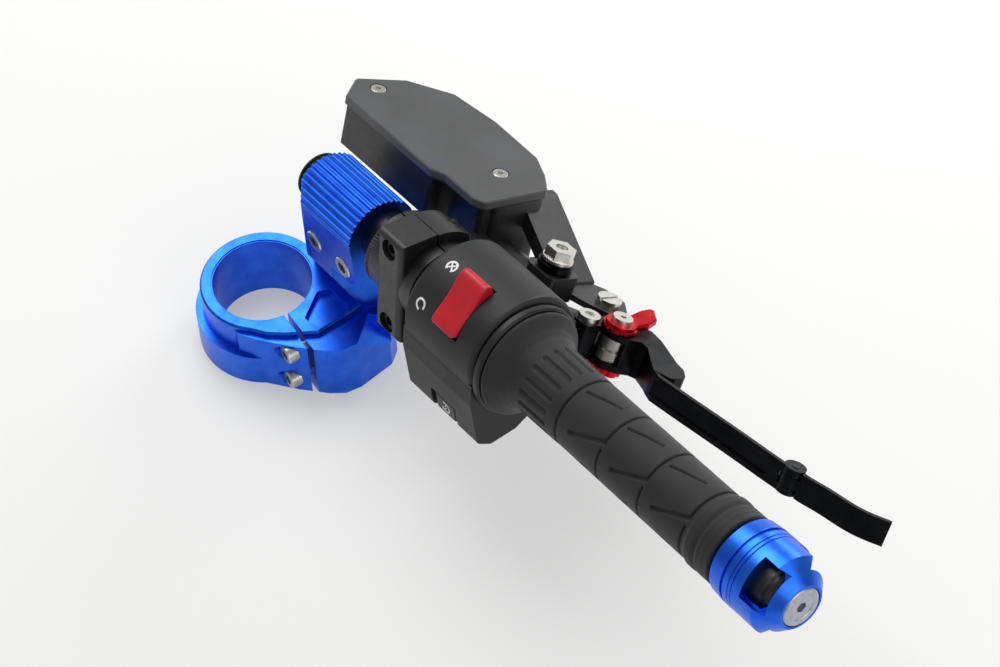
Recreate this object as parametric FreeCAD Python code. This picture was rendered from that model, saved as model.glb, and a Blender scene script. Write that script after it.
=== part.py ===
# Right-hand clip-on handlebar of a sports motorcycle, with its throttle, switches and front brake lever.
# Row frame: origin on the fork clamp's bore axis at the clamp's top face, +Z up the fork,
# +X outboard, +Y forward. The handlebar tube has a frame of its own: x outboard along the tube,
# y square to it and forward, z square to both and up.
import FreeCAD, Part
import math
import os
from FreeCAD import Placement, Rotation, Vector

# Fork clamp
FORK_RADIUS = 21.5
CLAMP_HEIGHT = 33.0
RING_RADIUS = 26.9
SKIRT_RADIUS = 30.2
SKIRT_DEPTH = 16.0
WALL_DEPTH = 3.0
CUTTER_RADIUS = 3.8
CUTTER_ANGLE = -101.0
SPLIT_ANGLE = -42.5
SPLIT_WIDTH = 2.0
SPLIT_OFFSET = -1.0
PINCH_REACH = 34.3
PINCH_DEPTHS = (8.8, CLAMP_HEIGHT - 7.0)
PINCH_HEAD_OUT = 9.8
PINCH_THREAD = 18.0
POCKET_DEPTH = 3.0
FORK_RELIEF = 0.6
BORE_EDGE = 0.5
PAD_OUTLINE = ((-6.0, -26.0), (10.0, -27.2), (18.0, -25.8), (31.5, -21.5), (41.7, -8.1),
               (45.3, -2.3), (43.5, 4.0), (24.5, 20.5), (13.3, 24.2), (0.0, 24.0))
EAR_OUTLINE = ((-5.0, -28.0), (6.0, -29.2), (23.0, -29.4), (36.0, -28.4), (43.0, -26.6), (48.4, -21.8),
               (57.8, -7.0), (58.0, 1.0), (50.0, 13.0), (34.0, 24.0), (14.0, 26.5), (0.0, 20.0), (-6.0, 0.0))
EAR_SLOPE = ((48.6, -WALL_DEPTH - 2.0), (58.6, -WALL_DEPTH - 17.0))
POCKET_OUTLINE = ((23.8, -15.6), (24.8, -0.9), (29.4, 1.8), (40.2, -5.2), (39.6, -10.4), (31.0, -20.2))
RISER_FOOT = ((16.5, 21.5), (45.3, -2.4), (56.0, 2.0), (30.0, 24.5))
RISER_WAIST = (-4.1, 15.2)

# Handlebar tube and where its clamp holds it
BAR_START = Vector(32.6, 14.1, 52.8)
BAR_SWEEP = 38.0
BAR_RISE = 7.8
BAR_RADIUS = 11.1
BAR_WALL = 3.0
BAR_INNER_END = -6.0
BAR_OUTER_END = 267.6
CLAMP_FIT = 0.03
BAR_CLAMP = (-3.5, 36.0)
BAR_CLAMP_RADIUS = 16.6
BAR_CLAMP_OFFSET = -1.6
BAR_CLAMP_REAR = -17.3
BAR_CLAMP_FRONT = 14.2
BAR_CLAMP_BOTTOM = -21.5
BAR_CLAMP_CORNER = 6.0
RIB_COUNT = 14
RIB_START = 78.0
RIB_PITCH = 9.6
RIB_DEPTH = 0.75
JAW_GAP = 2.0
JAW_BOLT_X = (5.8, 26.7)
JAW_BOLT_Z = -14.6
WAIST_DEPTH = 29.0
PLUG_END = -12.7
PLUG_GRIP = 14.0

# Socket screws: thread radius, head radius, head height, hexagon across flats
M5 = (2.5, 4.25, 5.0, 4.0)
M6 = (3.0, 5.0, 6.0, 5.0)
M4 = (2.0, 3.5, 2.4, 2.5)
HEAD_ROOM = 0.3
THREAD_FIT = 0.02

# Throttle
RUN_GAP = 0.3
TUBE_SLEEVE_WALL = 1.6
SLEEVE_START = 119.6
SLEEVE_END = BAR_OUTER_END - 1.0
DRUM_RADIUS = 19.6
DRUM_END = 127.6
FLANGE = (130.6, 134.4)
FLANGE_RADIUS = 24.6
GRIP_RADIUS = 15.3
GRIP_END = BAR_OUTER_END - 1.2
GRIP_RIB_COUNT = 18
GRIP_RIBS = (149.5, 166.5)
GRIP_RIB_WIDTH = 1.3
RING_GROOVE = 172.5
BAND_WIDTH = 8.9
BAND_GROOVE = GRIP_END - BAND_WIDTH
BULGE = (BAND_GROOVE - 6.9, BAND_GROOVE - 0.7)
SCALE_LENGTH = 25.5
SCALE_LAST = BULGE[0] - 1.4
SCALE_ROWS = int((SCALE_LAST - RING_GROOVE) / SCALE_LENGTH)
SCALE_ENDS = tuple(SCALE_LAST - SCALE_LENGTH * k for k in reversed(range(SCALE_ROWS)))
SCALES_ROUND = 3
SCALE_ARC = (-70.0, 37.5)
SCALE_SLOTS = ((-17.5, 63.0, 0.0, 37.5), (-22.5, 0.0, -7.5, -17.5))
SLOT_WIDTH = 1.2
SLOT_DEPTH = 0.9

# Bar end
END_FACE = BAR_OUTER_END + 33.4
END_RADIUS = 17.4
END_SHOULDER = BAR_OUTER_END + 25.4
END_NOSE_RADIUS = 10.4
CORE_RADIUS = 12.8
WINDOW = (BAR_OUTER_END + 18.0, BAR_OUTER_END + 29.2)
WINDOW_WIDTH = 18.0
WINDOW_INNER = 9.9
WINDOW_TURN = 40.0
END_GROOVES = ((7.4, 1.5), (11.3, 0.5), (13.1, 0.5))
END_SCREW_RADIUS = 3.0
END_HEAD_RADIUS = 8.5
EXPANDER = (BAR_OUTER_END - 24.6, BAR_OUTER_END - 5.6)

# Switch housing
HOUSING = (84.0, 130.0)
HOUSING_RADIUS = 26.0
HOUSING_OFFSET = 1.5
HOUSING_EDGE = 2.2
DRUM_ROOM = (119.0, 128.2)
ROCKER_X = 109.7
ROCKER_WIDTH = 15.0
ROCKER_SPAN = (3.0, 57.0)
ROCKER_PIVOT_RADIUS = 24.0
ROCKER_ROOT = 20.0
ROCKER_REST_TILT = 4.0
ROCKER_SIDE_GAP = 0.4
ROCKER_SWING_GAP = 1.0
ROCKER_AXLE = (1.5, 1.6)
BUTTON_CENTRE = (108.5, -28.0)
BUTTON_SIZE = (13.0, 8.6)
BUTTON_RECESS = (17.0, 12.0, 2.0)
BUTTON_PROUD = 1.4
BUTTON_ROOM = 5.0
BUTTON_GAP = 0.3
HOUSING_SCREWS = ((91.0, -17.0), (112.0, 18.0))
HOUSING_SCREW_SEAT = -18.0
CHIN = -36.4

# Front brake master cylinder
LEVEL_TILT = 21.5
LEVER_TILT = 32.0
HOLD_TILT = 12.0
HOLD_X = (47.0, 78.0)
HOLD_RADIUS = 17.6
HOLD_EARS = (55.5, 72.5)
HOLD_EAR_SPAN = (-26.0, 23.0)
HOLD_EAR_CROWN = 24.0
HOLD_REAR = 18.0
HOLD_SCREW_X = 64.0
HOLD_SCREWS_Z = (-20.0, 17.0)
HOLD_SINK = 1.6
HOLD_SPLIT = 0.8
HOLD_TOOTH = 0.55
HOLD_TEETH = (46.0, 4.4, 21)
CYLINDER_Y = 36.8
CYLINDER_RADIUS = 12.5
CYLINDER = (46.0, 95.0)
CYLINDER_BORE = 8.0
CYLINDER_BORE_START = 58.0
PISTON_FIT = 0.05
PISTON = (76.0, 89.0)
PUSH_ROD_RADIUS = 2.8
CAP_TOP = 25.5
CAP_THICKNESS = 3.6
CAP_OVERHANG = 1.2
TANK_BOTTOM = 2.5
TANK_WALL = 2.6
CAP_OUTLINE = ((-28.0, 20.0), (-39.0, 33.0), (-30.0, 53.5), (-13.0, 67.0), (12.0, 70.5), (42.0, 69.7),
               (54.6, 64.3), (65.0, 57.6), (63.4, 26.4), (58.0, 23.7), (39.0, 23.7), (33.0, 20.2))
CAP_SCREWS = ((-28.3, 37.3), (46.6, 46.7))
SCREW_POST = 4.6
NOTCH = (34.0, 60.0, 31.0, 20.5)
SEAT_GAP = 0.3
BANJO = (94.5, 39.5, 16.6)
BANJO_BOSS = 8.4

# Brake lever, in the plane of the lever
PIVOT = (109.9, 60.9)
PIVOT_RADIUS = 4.0
PIN_FIT = 0.06
EAR = (5.4, 8.0)
SIDE_GAP = 0.3
HINGE = (119.5, 41.7)
HINGE_RADIUS = 3.0
NOSE_X = 110.4
NOSE_RADIUS = 4.0
ADJUSTER = (127.7, 52.0)
ADJUSTER_BARREL = 6.5
ADJUSTER_AXLE = 3.2
BARREL_ROOM = 1.5
ADJUSTER_KNOB = 7.4
WHEEL_TOP = 6.4
KNOB_HEIGHT = 2.8
KNOB_LIFT = 0.4
SCREW_HEAD = (3.4, 2.2)
SCREW_SHANK = 1.6
TAB_OUTLINE = ((-3.2, 3.0), (-5.2, 15.0), (-4.8, 19.6), (-3.0, 21.0), (2.8, 17.6), (4.6, 12.0), (4.2, 3.0))
TAB_RISE = 10.0
BLADE_HALF_HEIGHT = 5.7
BLADE_ROOT_START = 136.0
BLADE_FLAT = 2.0
TIP_PIN = (226.5, 64.5)
TIP_PIN_RADIUS = 1.6
KNUCKLE_RADIUS = 5.0
TONGUE_HALF = 2.2
LUG_OUTLINE = ((113.2, 41.0), (115.2, 47.2), (121.8, 55.2), (126.0, 62.6), (131.5, 67.2), (143.0, 65.9),
               (157.0, 64.2), (162.5, 60.5), (162.5, 53.0), (150.0, 46.2), (131.0, 42.6), (123.4, 36.4),
               (117.0, 36.2))
BLADE_REAR = ((142.0, 44.6), (158.0, 47.2), (175.0, 50.4), (191.0, 53.8), (207.0, 56.9), (225.2, 60.3))
BLADE_DEPTHS = (8.8, 8.8, 8.8, 8.8, 8.4, 6.5)
HOLLOW = (158.0, 218.0, 3.8, 1.3)
TIP_REAR = ((232.0, 63.4), (240.0, 65.9), (249.0, 68.6), (257.0, 71.2), (262.5, 74.6), (268.0, 79.4))
TIP_DEPTHS = (7.2, 8.2, 8.6, 9.4, 10.2, 8.2)

X = Vector(1, 0, 0)
Z = Vector(0, 0, 1)
FAR = 90.0

bar_frame = Placement(BAR_START, Rotation(Z, -BAR_SWEEP) * Rotation(Vector(0, 1, 0), -BAR_RISE))


def about_bar(tilt):
    """A frame turned forward and down about the handlebar tube."""
    return Placement(Vector(), Rotation(X, -tilt))


level_frame = about_bar(LEVEL_TILT)
lever_frame = about_bar(LEVER_TILT)
hold_frame = about_bar(HOLD_TILT)
split_frame = Placement(Vector(), Rotation(Z, SPLIT_ANGLE))


def placed(shape, frame):
    moved = shape.copy()
    moved.Placement = frame.multiply(moved.Placement)
    return moved


def box(x, y, z):
    return Part.makeBox(x[1] - x[0], y[1] - y[0], z[1] - z[0], Vector(x[0], y[0], z[0]))


def rod(start, axis, radius, length):
    return Part.makeCylinder(radius, length, start, axis)


def along_x(radius, x, y=0.0, z=0.0):
    return rod(Vector(x[0], y, z), X, radius, x[1] - x[0])


def along_z(radius, centre, z):
    return rod(Vector(centre[0], centre[1], z[0]), Z, radius, z[1] - z[0])


def rounded_wire(points, radius):
    """A closed outline in the XY plane with every corner rounded as far as its sides allow."""
    corners = [Vector(p[0], p[1], 0) for p in points]
    count = len(corners)
    cuts = []
    for i, corner in enumerate(corners):
        back = corners[i - 1] - corner
        ahead = corners[(i + 1) % count] - corner
        half_turn = back.getAngle(ahead) / 2
        reach = min(radius / math.tan(half_turn), 0.48 * back.Length, 0.48 * ahead.Length)
        into = back.normalize()
        out = ahead.normalize()
        middle = (into + out).normalize()
        depth = reach / math.cos(half_turn) - reach * math.tan(half_turn)
        cuts.append((corner + into * reach, corner + middle * depth, corner + out * reach))
    edges = []
    for i, (start, middle, end) in enumerate(cuts):
        edges.append(Part.Arc(start, middle, end).toShape())
        edges.append(Part.LineSegment(end, cuts[(i + 1) % count][0]).toShape())
    return Part.Wire(edges)


def prism(points, z, radius=0.0):
    """An outline in the XY plane, given height along Z."""
    if radius > 0:
        wire = rounded_wire(points, radius)
    else:
        wire = Part.makePolygon([Vector(p[0], p[1], 0) for p in (*points, points[0])])
    face = Part.Face(wire)
    face.translate(Vector(0, 0, z[0]))
    return face.extrude(Vector(0, 0, z[1] - z[0]))


def side_prism(points, y, radius=0.0):
    """An outline in the XZ plane, given depth along Y."""
    flat = prism(points, (-y[1], -y[0]), radius)
    return placed(flat, Placement(Vector(), Rotation(X, 90)))


def end_prism(points, x, radius=0.0):
    """An outline in the YZ plane, given length along X."""
    flat = prism(points, x, radius)
    return placed(flat, Placement(Vector(), Rotation(Vector(1, 1, 1), 120)))


def turned(profile):
    """A body of revolution about the X axis, from its (x, radius) outline."""
    corners = [Vector(x, r, 0) for x, r in profile]
    wire = Part.makePolygon(corners + [corners[0]])
    return Part.Face(wire).revolve(Vector(), X, 360)


def hexagon(across_flats, z):
    corner = across_flats / math.sqrt(3)
    turns = [math.radians(60 * k) for k in range(6)]
    return prism([(corner * math.cos(t), corner * math.sin(t)) for t in turns], z)


def socket_screw(size, shank):
    """A socket-head screw: head seat at the origin, shank down -Z, head up +Z."""
    thread, head, height, key = size
    body = rod(Vector(0, 0, 0), Z, head, height)
    top_edges = [e for e in body.Edges if e.CenterOfMass.z > height - 0.01 and len(e.Vertexes) == 1]
    body = body.makeChamfer(0.1 * head, top_edges)
    body = body.cut(hexagon(key, (height * 0.45, height + 1)))
    return body.fuse(rod(Vector(0, 0, -shank), Z, thread, shank + 0.5)).removeSplitter()


def set_at(shape, seat, pointing):
    """Stands a screw on its seat with its head towards a direction."""
    return placed(shape, Placement(seat, Rotation(Z, pointing)))


def screw_hole(size, seat, pointing, shank, counterbore):
    """Room for a screw: threaded length under the seat and a counterbore above it."""
    thread, head = size[0], size[1]
    room = rod(Vector(0, 0, -shank), Z, thread + THREAD_FIT, shank + 0.5)
    room = room.fuse(rod(Vector(0, 0, 0), Z, head + HEAD_ROOM, counterbore))
    return set_at(room, seat, pointing)


# Fork clamp, riser and bar clamp, machined from one block

def split_point(reach, across, z):
    """A point of the split's own frame, in the row frame."""
    return split_frame.multVec(Vector(reach, across, z))


pinch_seats = [split_point(PINCH_REACH, -(PINCH_HEAD_OUT - M5[2]), -z) for z in PINCH_DEPTHS]
pinch_out = split_frame.Rotation.multVec(Vector(0, -1, 0))
jaw_seats = [Vector(x, BAR_CLAMP_REAR + M6[2] - 0.6, JAW_BOLT_Z) for x in JAW_BOLT_X]
jaw_shank = BAR_CLAMP_FRONT - jaw_seats[0].y - 2.0


def fork_ring():
    ring = along_z(RING_RADIUS, (0, 0), (-CLAMP_HEIGHT, 0))
    crown = ring.fuse(prism(PAD_OUTLINE, (-WALL_DEPTH - 0.5, 0), 1.5)).removeSplitter()
    crown = crown.makeChamfer(0.8, [e for e in crown.Edges if e.BoundBox.ZMin > -0.01])
    skirt = along_z(SKIRT_RADIUS, (0, 0), (-CLAMP_HEIGHT, -SKIRT_DEPTH))
    ear = prism(EAR_OUTLINE, (-CLAMP_HEIGHT, -WALL_DEPTH), 2.0)
    (high_x, high_z), (low_x, low_z) = EAR_SLOPE
    slope = side_prism(((high_x, 0), (high_x, high_z), (low_x, low_z), (FAR, low_z), (FAR, 0)), (-FAR, -5.0))
    cutter = math.radians(CUTTER_ANGLE)
    cutter_orbit = RING_RADIUS + CUTTER_RADIUS
    cutter_at = (cutter_orbit * math.cos(cutter), cutter_orbit * math.sin(cutter))
    run_out = along_z(CUTTER_RADIUS, cutter_at, (-SKIRT_DEPTH, 1))
    ring_side = prism(((-40, -40), (cutter_at[0], -40), (cutter_at[0], -20), (-40, -20)), (-SKIRT_DEPTH, 1))
    run_out = run_out.fuse(ring_side).cut(along_z(RING_RADIUS, (0, 0), (-CLAMP_HEIGHT, 2)))
    return crown.fuse([skirt, ear.cut(slope)]).cut(run_out)


def riser():
    """The leg from the ear to the bar clamp: narrow under the clamp, spreading round the ring."""
    inner, outer = RISER_WAIST
    waist = [Vector(x, y, -WAIST_DEPTH) for x, y in ((inner, BAR_CLAMP_REAR), (outer, BAR_CLAMP_REAR),
                                                    (outer, 1.0), (inner, 1.0))]
    waist = [bar_frame.multVec(p) for p in waist]
    foot = [Vector(x, y, -WALL_DEPTH) for x, y in RISER_FOOT]
    sections = [Part.makePolygon(ring + [ring[0]]) for ring in (waist, foot)]
    leg = Part.makeLoft(sections, True, True)
    neck = placed(box((BAR_CLAMP[0], outer), (BAR_CLAMP_REAR, 1.0), (-WAIST_DEPTH - 0.5, -14.0)), bar_frame)
    leg = leg.fuse(neck)
    return leg.cut(web_pocket(waist, foot))


def web_pocket(waist, foot):
    """The shallow three-cornered recess in the riser's inboard face."""
    rear, front, head = foot[0], foot[3], (waist[0] + waist[3]) * 0.5
    centre = (rear + front + head) * (1 / 3)
    outward = (front - rear).cross(head - rear).normalize()
    if outward.dot(Vector(-1, 0, 0)) < 0:
        outward = outward * -1
    frame = Placement(centre, Rotation(front - rear, head - rear, outward, "ZXY"))
    inverse = frame.inverse()
    corners = [inverse.multVec(centre + (p - centre) * 0.62) for p in (rear, front, head)]
    if (corners[1] - corners[0]).cross(corners[2] - corners[0]).z < 0:
        corners.reverse()
    return placed(prism([(p.x, p.y) for p in corners], (-3.0, 12.0), 4.0), frame)


def bar_clamp():
    """The ribbed split clamp round the tube, in the tube's frame."""
    start, end = BAR_CLAMP
    barrel = along_x(BAR_CLAMP_RADIUS, BAR_CLAMP, BAR_CLAMP_OFFSET)
    rear = side_prism(((start, -2), (end, -2), (end, BAR_CLAMP_BOTTOM), (start, BAR_CLAMP_BOTTOM)),
                      (BAR_CLAMP_REAR, BAR_CLAMP_FRONT))
    upper_rear = box(BAR_CLAMP, (BAR_CLAMP_REAR, 0), (-3, 2))
    corner = side_prism(((end - BAR_CLAMP_CORNER, BAR_CLAMP_BOTTOM - 1), (end + 1, BAR_CLAMP_BOTTOM - 1),
                         (end + 1, BAR_CLAMP_BOTTOM + BAR_CLAMP_CORNER)), (-FAR, FAR))
    trim = box((start - 1, end + 1), (-FAR, BAR_CLAMP_REAR), (-FAR, FAR))
    body = barrel.fuse([rear, upper_rear]).cut([trim, corner])
    grooves = []
    orbit = BAR_CLAMP_RADIUS + 0.35
    for k in range(RIB_COUNT):
        angle = math.radians(RIB_START - k * RIB_PITCH)
        y = BAR_CLAMP_OFFSET - orbit * math.sin(angle)
        grooves.append(along_x(RIB_DEPTH + 0.35, (start - 1, end + 1), y, orbit * math.cos(angle)))
    return body.cut(grooves)


def fork_clamp():
    body = fork_ring().fuse([riser(), placed(bar_clamp(), bar_frame)])
    bore = along_z(FORK_RADIUS, (0, 0), (-CLAMP_HEIGHT - 1, 1))
    tube_room = along_z(FORK_RADIUS + FORK_RELIEF, (0, 0), (-BORE_EDGE, FAR))
    split = placed(box((18, FAR), (SPLIT_OFFSET - SPLIT_WIDTH / 2, SPLIT_OFFSET + SPLIT_WIDTH / 2),
                       (-CLAMP_HEIGHT - 1, 1)), split_frame)
    pocket = prism(POCKET_OUTLINE, (-POCKET_DEPTH, 4.5), 1.6)
    bar_bore = placed(along_x(BAR_RADIUS + CLAMP_FIT, (BAR_CLAMP[0] - 5, BAR_CLAMP[1] + 5)), bar_frame)
    jaw_slit = placed(box((BAR_CLAMP[0] - 3, BAR_CLAMP[1] + 1), (2.0, 2.0 + JAW_GAP),
                          (-WAIST_DEPTH - 3, -BAR_RADIUS + 1)), bar_frame)
    cuts = [bore, tube_room, split, pocket, bar_bore, jaw_slit]
    for seat in pinch_seats:
        cuts.append(screw_hole(M5, seat, pinch_out, PINCH_THREAD + 1.5, 40))
    for seat in jaw_seats:
        cuts.append(placed(screw_hole(M6, seat, Vector(0, -1, 0), jaw_shank + 0.6, 20), bar_frame))
    for cut in cuts:
        body = body.cut(cut)
    return body.removeSplitter()


def fork_pinch_bolts():
    return Part.makeCompound([set_at(socket_screw(M5, PINCH_THREAD), seat, pinch_out) for seat in pinch_seats])


def bar_clamp_bolts():
    bolts = [set_at(socket_screw(M6, jaw_shank), seat, Vector(0, -1, 0)) for seat in jaw_seats]
    return Part.makeCompound(bolts)


# Handlebar tube, its inner plug and the bar end

def bar_tube():
    span = (BAR_INNER_END, BAR_OUTER_END)
    return along_x(BAR_RADIUS, span).cut(along_x(BAR_RADIUS - BAR_WALL, (span[0] - 1, span[1] + 1)))


def tube_plug():
    head = BAR_RADIUS - 0.4
    shank = BAR_RADIUS - BAR_WALL - THREAD_FIT
    profile = [(PLUG_END, 0), (PLUG_END, head - 1.2), (PLUG_END + 1.0, head)]
    x = PLUG_END + 1.8
    while x + 1.4 < BAR_INNER_END:
        profile += [(x, head), (x + 0.3, head - 0.9), (x + 0.9, head - 0.9), (x + 1.2, head)]
        x += 1.9
    profile += [(BAR_INNER_END, head), (BAR_INNER_END, shank), (PLUG_GRIP, shank), (PLUG_GRIP, 0)]
    return turned(profile)


def bar_end_sleeve():
    start = BAR_OUTER_END
    outer = [(start, END_RADIUS - 1.5), (start + 0.9, END_RADIUS - 0.6), (start + 7.0, END_RADIUS)]
    for offset, width in END_GROOVES:
        groove = start + offset
        depth = 0.3 + 0.4 * width
        outer += [(groove, END_RADIUS), (groove + 0.2, END_RADIUS - depth),
                  (groove + width - 0.2, END_RADIUS - depth), (groove + width, END_RADIUS)]
    outer += [(END_SHOULDER, END_RADIUS), (END_FACE - 0.6, END_NOSE_RADIUS), (END_FACE, END_NOSE_RADIUS - 0.6)]
    inner = [(END_FACE, END_HEAD_RADIUS + 0.3), (END_FACE - 1.8, END_HEAD_RADIUS + 0.3),
             (END_FACE - 1.8, END_SCREW_RADIUS + 0.3), (END_FACE - 3.2, END_SCREW_RADIUS + 0.3),
             (END_FACE - 3.2, CORE_RADIUS - 3.8), (END_SHOULDER, CORE_RADIUS + CLAMP_FIT),
             (start, CORE_RADIUS + CLAMP_FIT)]
    body = turned(outer + inner)
    window = box(WINDOW, (-WINDOW_WIDTH / 2, WINDOW_WIDTH / 2), (WINDOW_INNER, FAR))
    return body.cut([placed(window, Placement(Vector(), Rotation(X, WINDOW_TURN + 120 * k))) for k in range(3)])


def bar_end_weight():
    start = BAR_OUTER_END
    hole = END_SCREW_RADIUS + THREAD_FIT
    return turned([(start, hole), (start, CORE_RADIUS), (END_SHOULDER - 2.0, CORE_RADIUS),
                   (END_SHOULDER - 1.2, CORE_RADIUS - 1.1), (END_SHOULDER, CORE_RADIUS - 1.1),
                   (END_FACE - 3.3, CORE_RADIUS - 4.2), (END_FACE - 3.3, hole)])


def bar_end_screw():
    face = END_FACE + 0.3
    head = turned([(END_FACE - 1.8, 0), (END_FACE - 1.8, END_HEAD_RADIUS), (face - 0.5, END_HEAD_RADIUS),
                   (face, END_HEAD_RADIUS - 0.5), (face, END_HEAD_RADIUS - 2.6),
                   (face - 0.3, END_HEAD_RADIUS - 2.9), (face - 0.3, 0)])
    socket = placed(hexagon(4.0, (-2.2, 1)), Placement(Vector(face, 0, 0), Rotation(Z, X)))
    return head.fuse(along_x(END_SCREW_RADIUS, (EXPANDER[0] - 9, END_FACE - 1.5))).cut(socket).removeSplitter()


def bar_end_expander():
    inner = END_SCREW_RADIUS + THREAD_FIT
    outer = BAR_RADIUS - BAR_WALL - THREAD_FIT
    return along_x(outer, EXPANDER).cut(along_x(inner, (EXPANDER[0] - 1, EXPANDER[1] + 1)))


def bar_end_nut():
    outer = BAR_RADIUS - BAR_WALL - RUN_GAP
    inner = END_SCREW_RADIUS + THREAD_FIT
    start = EXPANDER[0] - 8.0
    return turned([(start, inner), (start, outer - 1), (start + 1, outer), (EXPANDER[0] - 2, outer),
                   (EXPANDER[0], outer - 2), (EXPANDER[0], inner)])


# Throttle sleeve and grip

def throttle_sleeve():
    bore = BAR_RADIUS + RUN_GAP
    outer = bore + TUBE_SLEEVE_WALL
    groove = DRUM_RADIUS - 2.5
    return turned([(SLEEVE_START, bore), (SLEEVE_START, DRUM_RADIUS), (SLEEVE_START + 2.2, DRUM_RADIUS),
                   (SLEEVE_START + 3.2, groove), (DRUM_END - 3.2, groove), (DRUM_END - 2.2, DRUM_RADIUS),
                   (DRUM_END, DRUM_RADIUS), (DRUM_END, outer), (FLANGE[0], outer),
                   (FLANGE[0], FLANGE_RADIUS - 0.8), (FLANGE[0] + 0.8, FLANGE_RADIUS),
                   (FLANGE[1] - 0.8, FLANGE_RADIUS), (FLANGE[1], FLANGE_RADIUS - 0.8), (FLANGE[1], outer),
                   (SLEEVE_END, outer), (SLEEVE_END, bore)])


def grip_profile(inner):
    start = FLANGE[1]
    bulge = GRIP_RADIUS + 0.8
    return [(start, inner), (start, FLANGE_RADIUS - 1.4), (start + 1.6, FLANGE_RADIUS - 1.0),
            (start + 2.6, FLANGE_RADIUS - 2.2), (start + 5.0, 19.4), (start + 8.5, 17.3), (start + 13.0, 16.1),
            (GRIP_RIBS[1] + 2, GRIP_RADIUS + 0.4), (RING_GROOVE - 1.2, GRIP_RADIUS + 0.2),
            (RING_GROOVE - 0.5, GRIP_RADIUS - SLOT_DEPTH), (RING_GROOVE + 0.5, GRIP_RADIUS - SLOT_DEPTH),
            (RING_GROOVE + 1.0, GRIP_RADIUS), (BULGE[0], GRIP_RADIUS), (BULGE[0] + 1.4, bulge),
            (BULGE[1] - 0.6, bulge), (BULGE[1], bulge - 0.5), (BAND_GROOVE - 0.3, bulge - 1.3),
            (BAND_GROOVE + 0.3, bulge - 1.3),
            (BAND_GROOVE + 0.8, bulge), (GRIP_END - 0.8, bulge), (GRIP_END, bulge - 0.8), (GRIP_END, inner)]


def grip_slot(start, start_turn, end, end_turn):
    """A straight slot cut into the grip's surface from one point to another."""
    length = end - start
    sweep = GRIP_RADIUS * math.radians(end_turn - start_turn)
    reach = math.hypot(length, sweep)
    slot = box((-reach / 2, reach / 2), (-SLOT_WIDTH / 2, SLOT_WIDTH / 2),
               (GRIP_RADIUS - SLOT_DEPTH, GRIP_RADIUS + 2))
    slot = placed(slot, Placement(Vector(), Rotation(Z, -math.degrees(math.atan2(sweep, length)))))
    middle = Placement(Vector((start + end) / 2, 0, 0), Rotation(X, (start_turn + end_turn) / 2))
    return placed(slot, middle)


def scale_edge(end):
    """The arc groove that closes one scale of the grip."""
    floor, top = GRIP_RADIUS - SLOT_DEPTH, GRIP_RADIUS + 1
    corners = [Vector(end + x, 0, r) for x, r in ((-0.5, floor), (0.5, floor), (0.8, top), (-0.8, top))]
    face = Part.Face(Part.makePolygon(corners + [corners[0]]))
    face.rotate(Vector(), X, SCALE_ARC[0])
    return face.revolve(Vector(), X, SCALE_ARC[1] - SCALE_ARC[0])


def grip():
    inner = BAR_RADIUS + RUN_GAP + TUBE_SLEEVE_WALL
    body = turned(grip_profile(inner))
    half = GRIP_RIB_WIDTH / 2
    rib_cut = box(GRIP_RIBS, (-half, half), (GRIP_RADIUS - 0.5, FAR))
    grooves = []
    for k in range(GRIP_RIB_COUNT):
        grooves.append(placed(rib_cut, Placement(Vector(), Rotation(X, 360 / GRIP_RIB_COUNT * k))))
    for end in SCALE_ENDS:
        marks = [scale_edge(end)]
        marks += [grip_slot(end + a, a_turn, end + b, b_turn) for a, a_turn, b, b_turn in SCALE_SLOTS]
        for k in range(SCALES_ROUND):
            turn = Placement(Vector(), Rotation(X, 360 / SCALES_ROUND * k))
            grooves += [placed(mark, turn) for mark in marks]
    return body.cut(grooves)


# Switch housing

def housing_profile():
    """The lower half's outline: flat rear face, deep chin, sloping front."""
    rear = HOUSING_OFFSET - HOUSING_RADIUS
    front = HOUSING_OFFSET + HOUSING_RADIUS
    return ((rear, 0), (rear - 2, -10), (rear - 2, CHIN + 4.5), (rear + 4, CHIN), (-8, CHIN), (9.5, -29.2),
            (18, -15), (front, 0))


def bar_room():
    """What the tube, the throttle drum and the housing screws take out of both halves."""
    sleeve = BAR_RADIUS + RUN_GAP + TUBE_SLEEVE_WALL
    room = along_x(BAR_RADIUS + CLAMP_FIT, (HOUSING[0] - 1, HOUSING[1] + 1))
    drum = along_x(DRUM_RADIUS + 0.8, DRUM_ROOM)
    neck = along_x(sleeve + 0.5, (DRUM_ROOM[1] - 0.5, HOUSING[1] + 1))
    return [room, drum, neck]


def on_housing(radius, turn):
    """A point round the housing's centre, turned from the top towards the rear."""
    angle = math.radians(turn)
    return HOUSING_OFFSET - radius * math.sin(angle), radius * math.cos(angle)


def rocker_pocket():
    swing = math.degrees(ROCKER_SWING_GAP / HOUSING_RADIUS)
    start, end = ROCKER_SPAN[0] - swing, ROCKER_SPAN[1] + swing
    steps = 6
    turns = [start + (end - start) * k / steps for k in range(steps + 1)]
    floor = [on_housing(ROCKER_ROOT - 2.2, t) for t in turns]
    outline = floor + [on_housing(HOUSING_RADIUS + 4, t) for t in reversed(turns)]
    half = ROCKER_WIDTH / 2 + ROCKER_SIDE_GAP
    pocket = end_prism(outline, (ROCKER_X - half, ROCKER_X + half))
    return pocket.fuse(rocker_axle(ROCKER_AXLE[0] + PIN_FIT, ROCKER_AXLE[1] + 0.3))


def rocker_axle(radius, reach):
    """The stub axles at both sides of the rocker."""
    pivot = rocker_pivot()
    half = ROCKER_WIDTH / 2 + reach
    return along_x(radius, (ROCKER_X - half, ROCKER_X + half), pivot.y, pivot.z)


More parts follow.
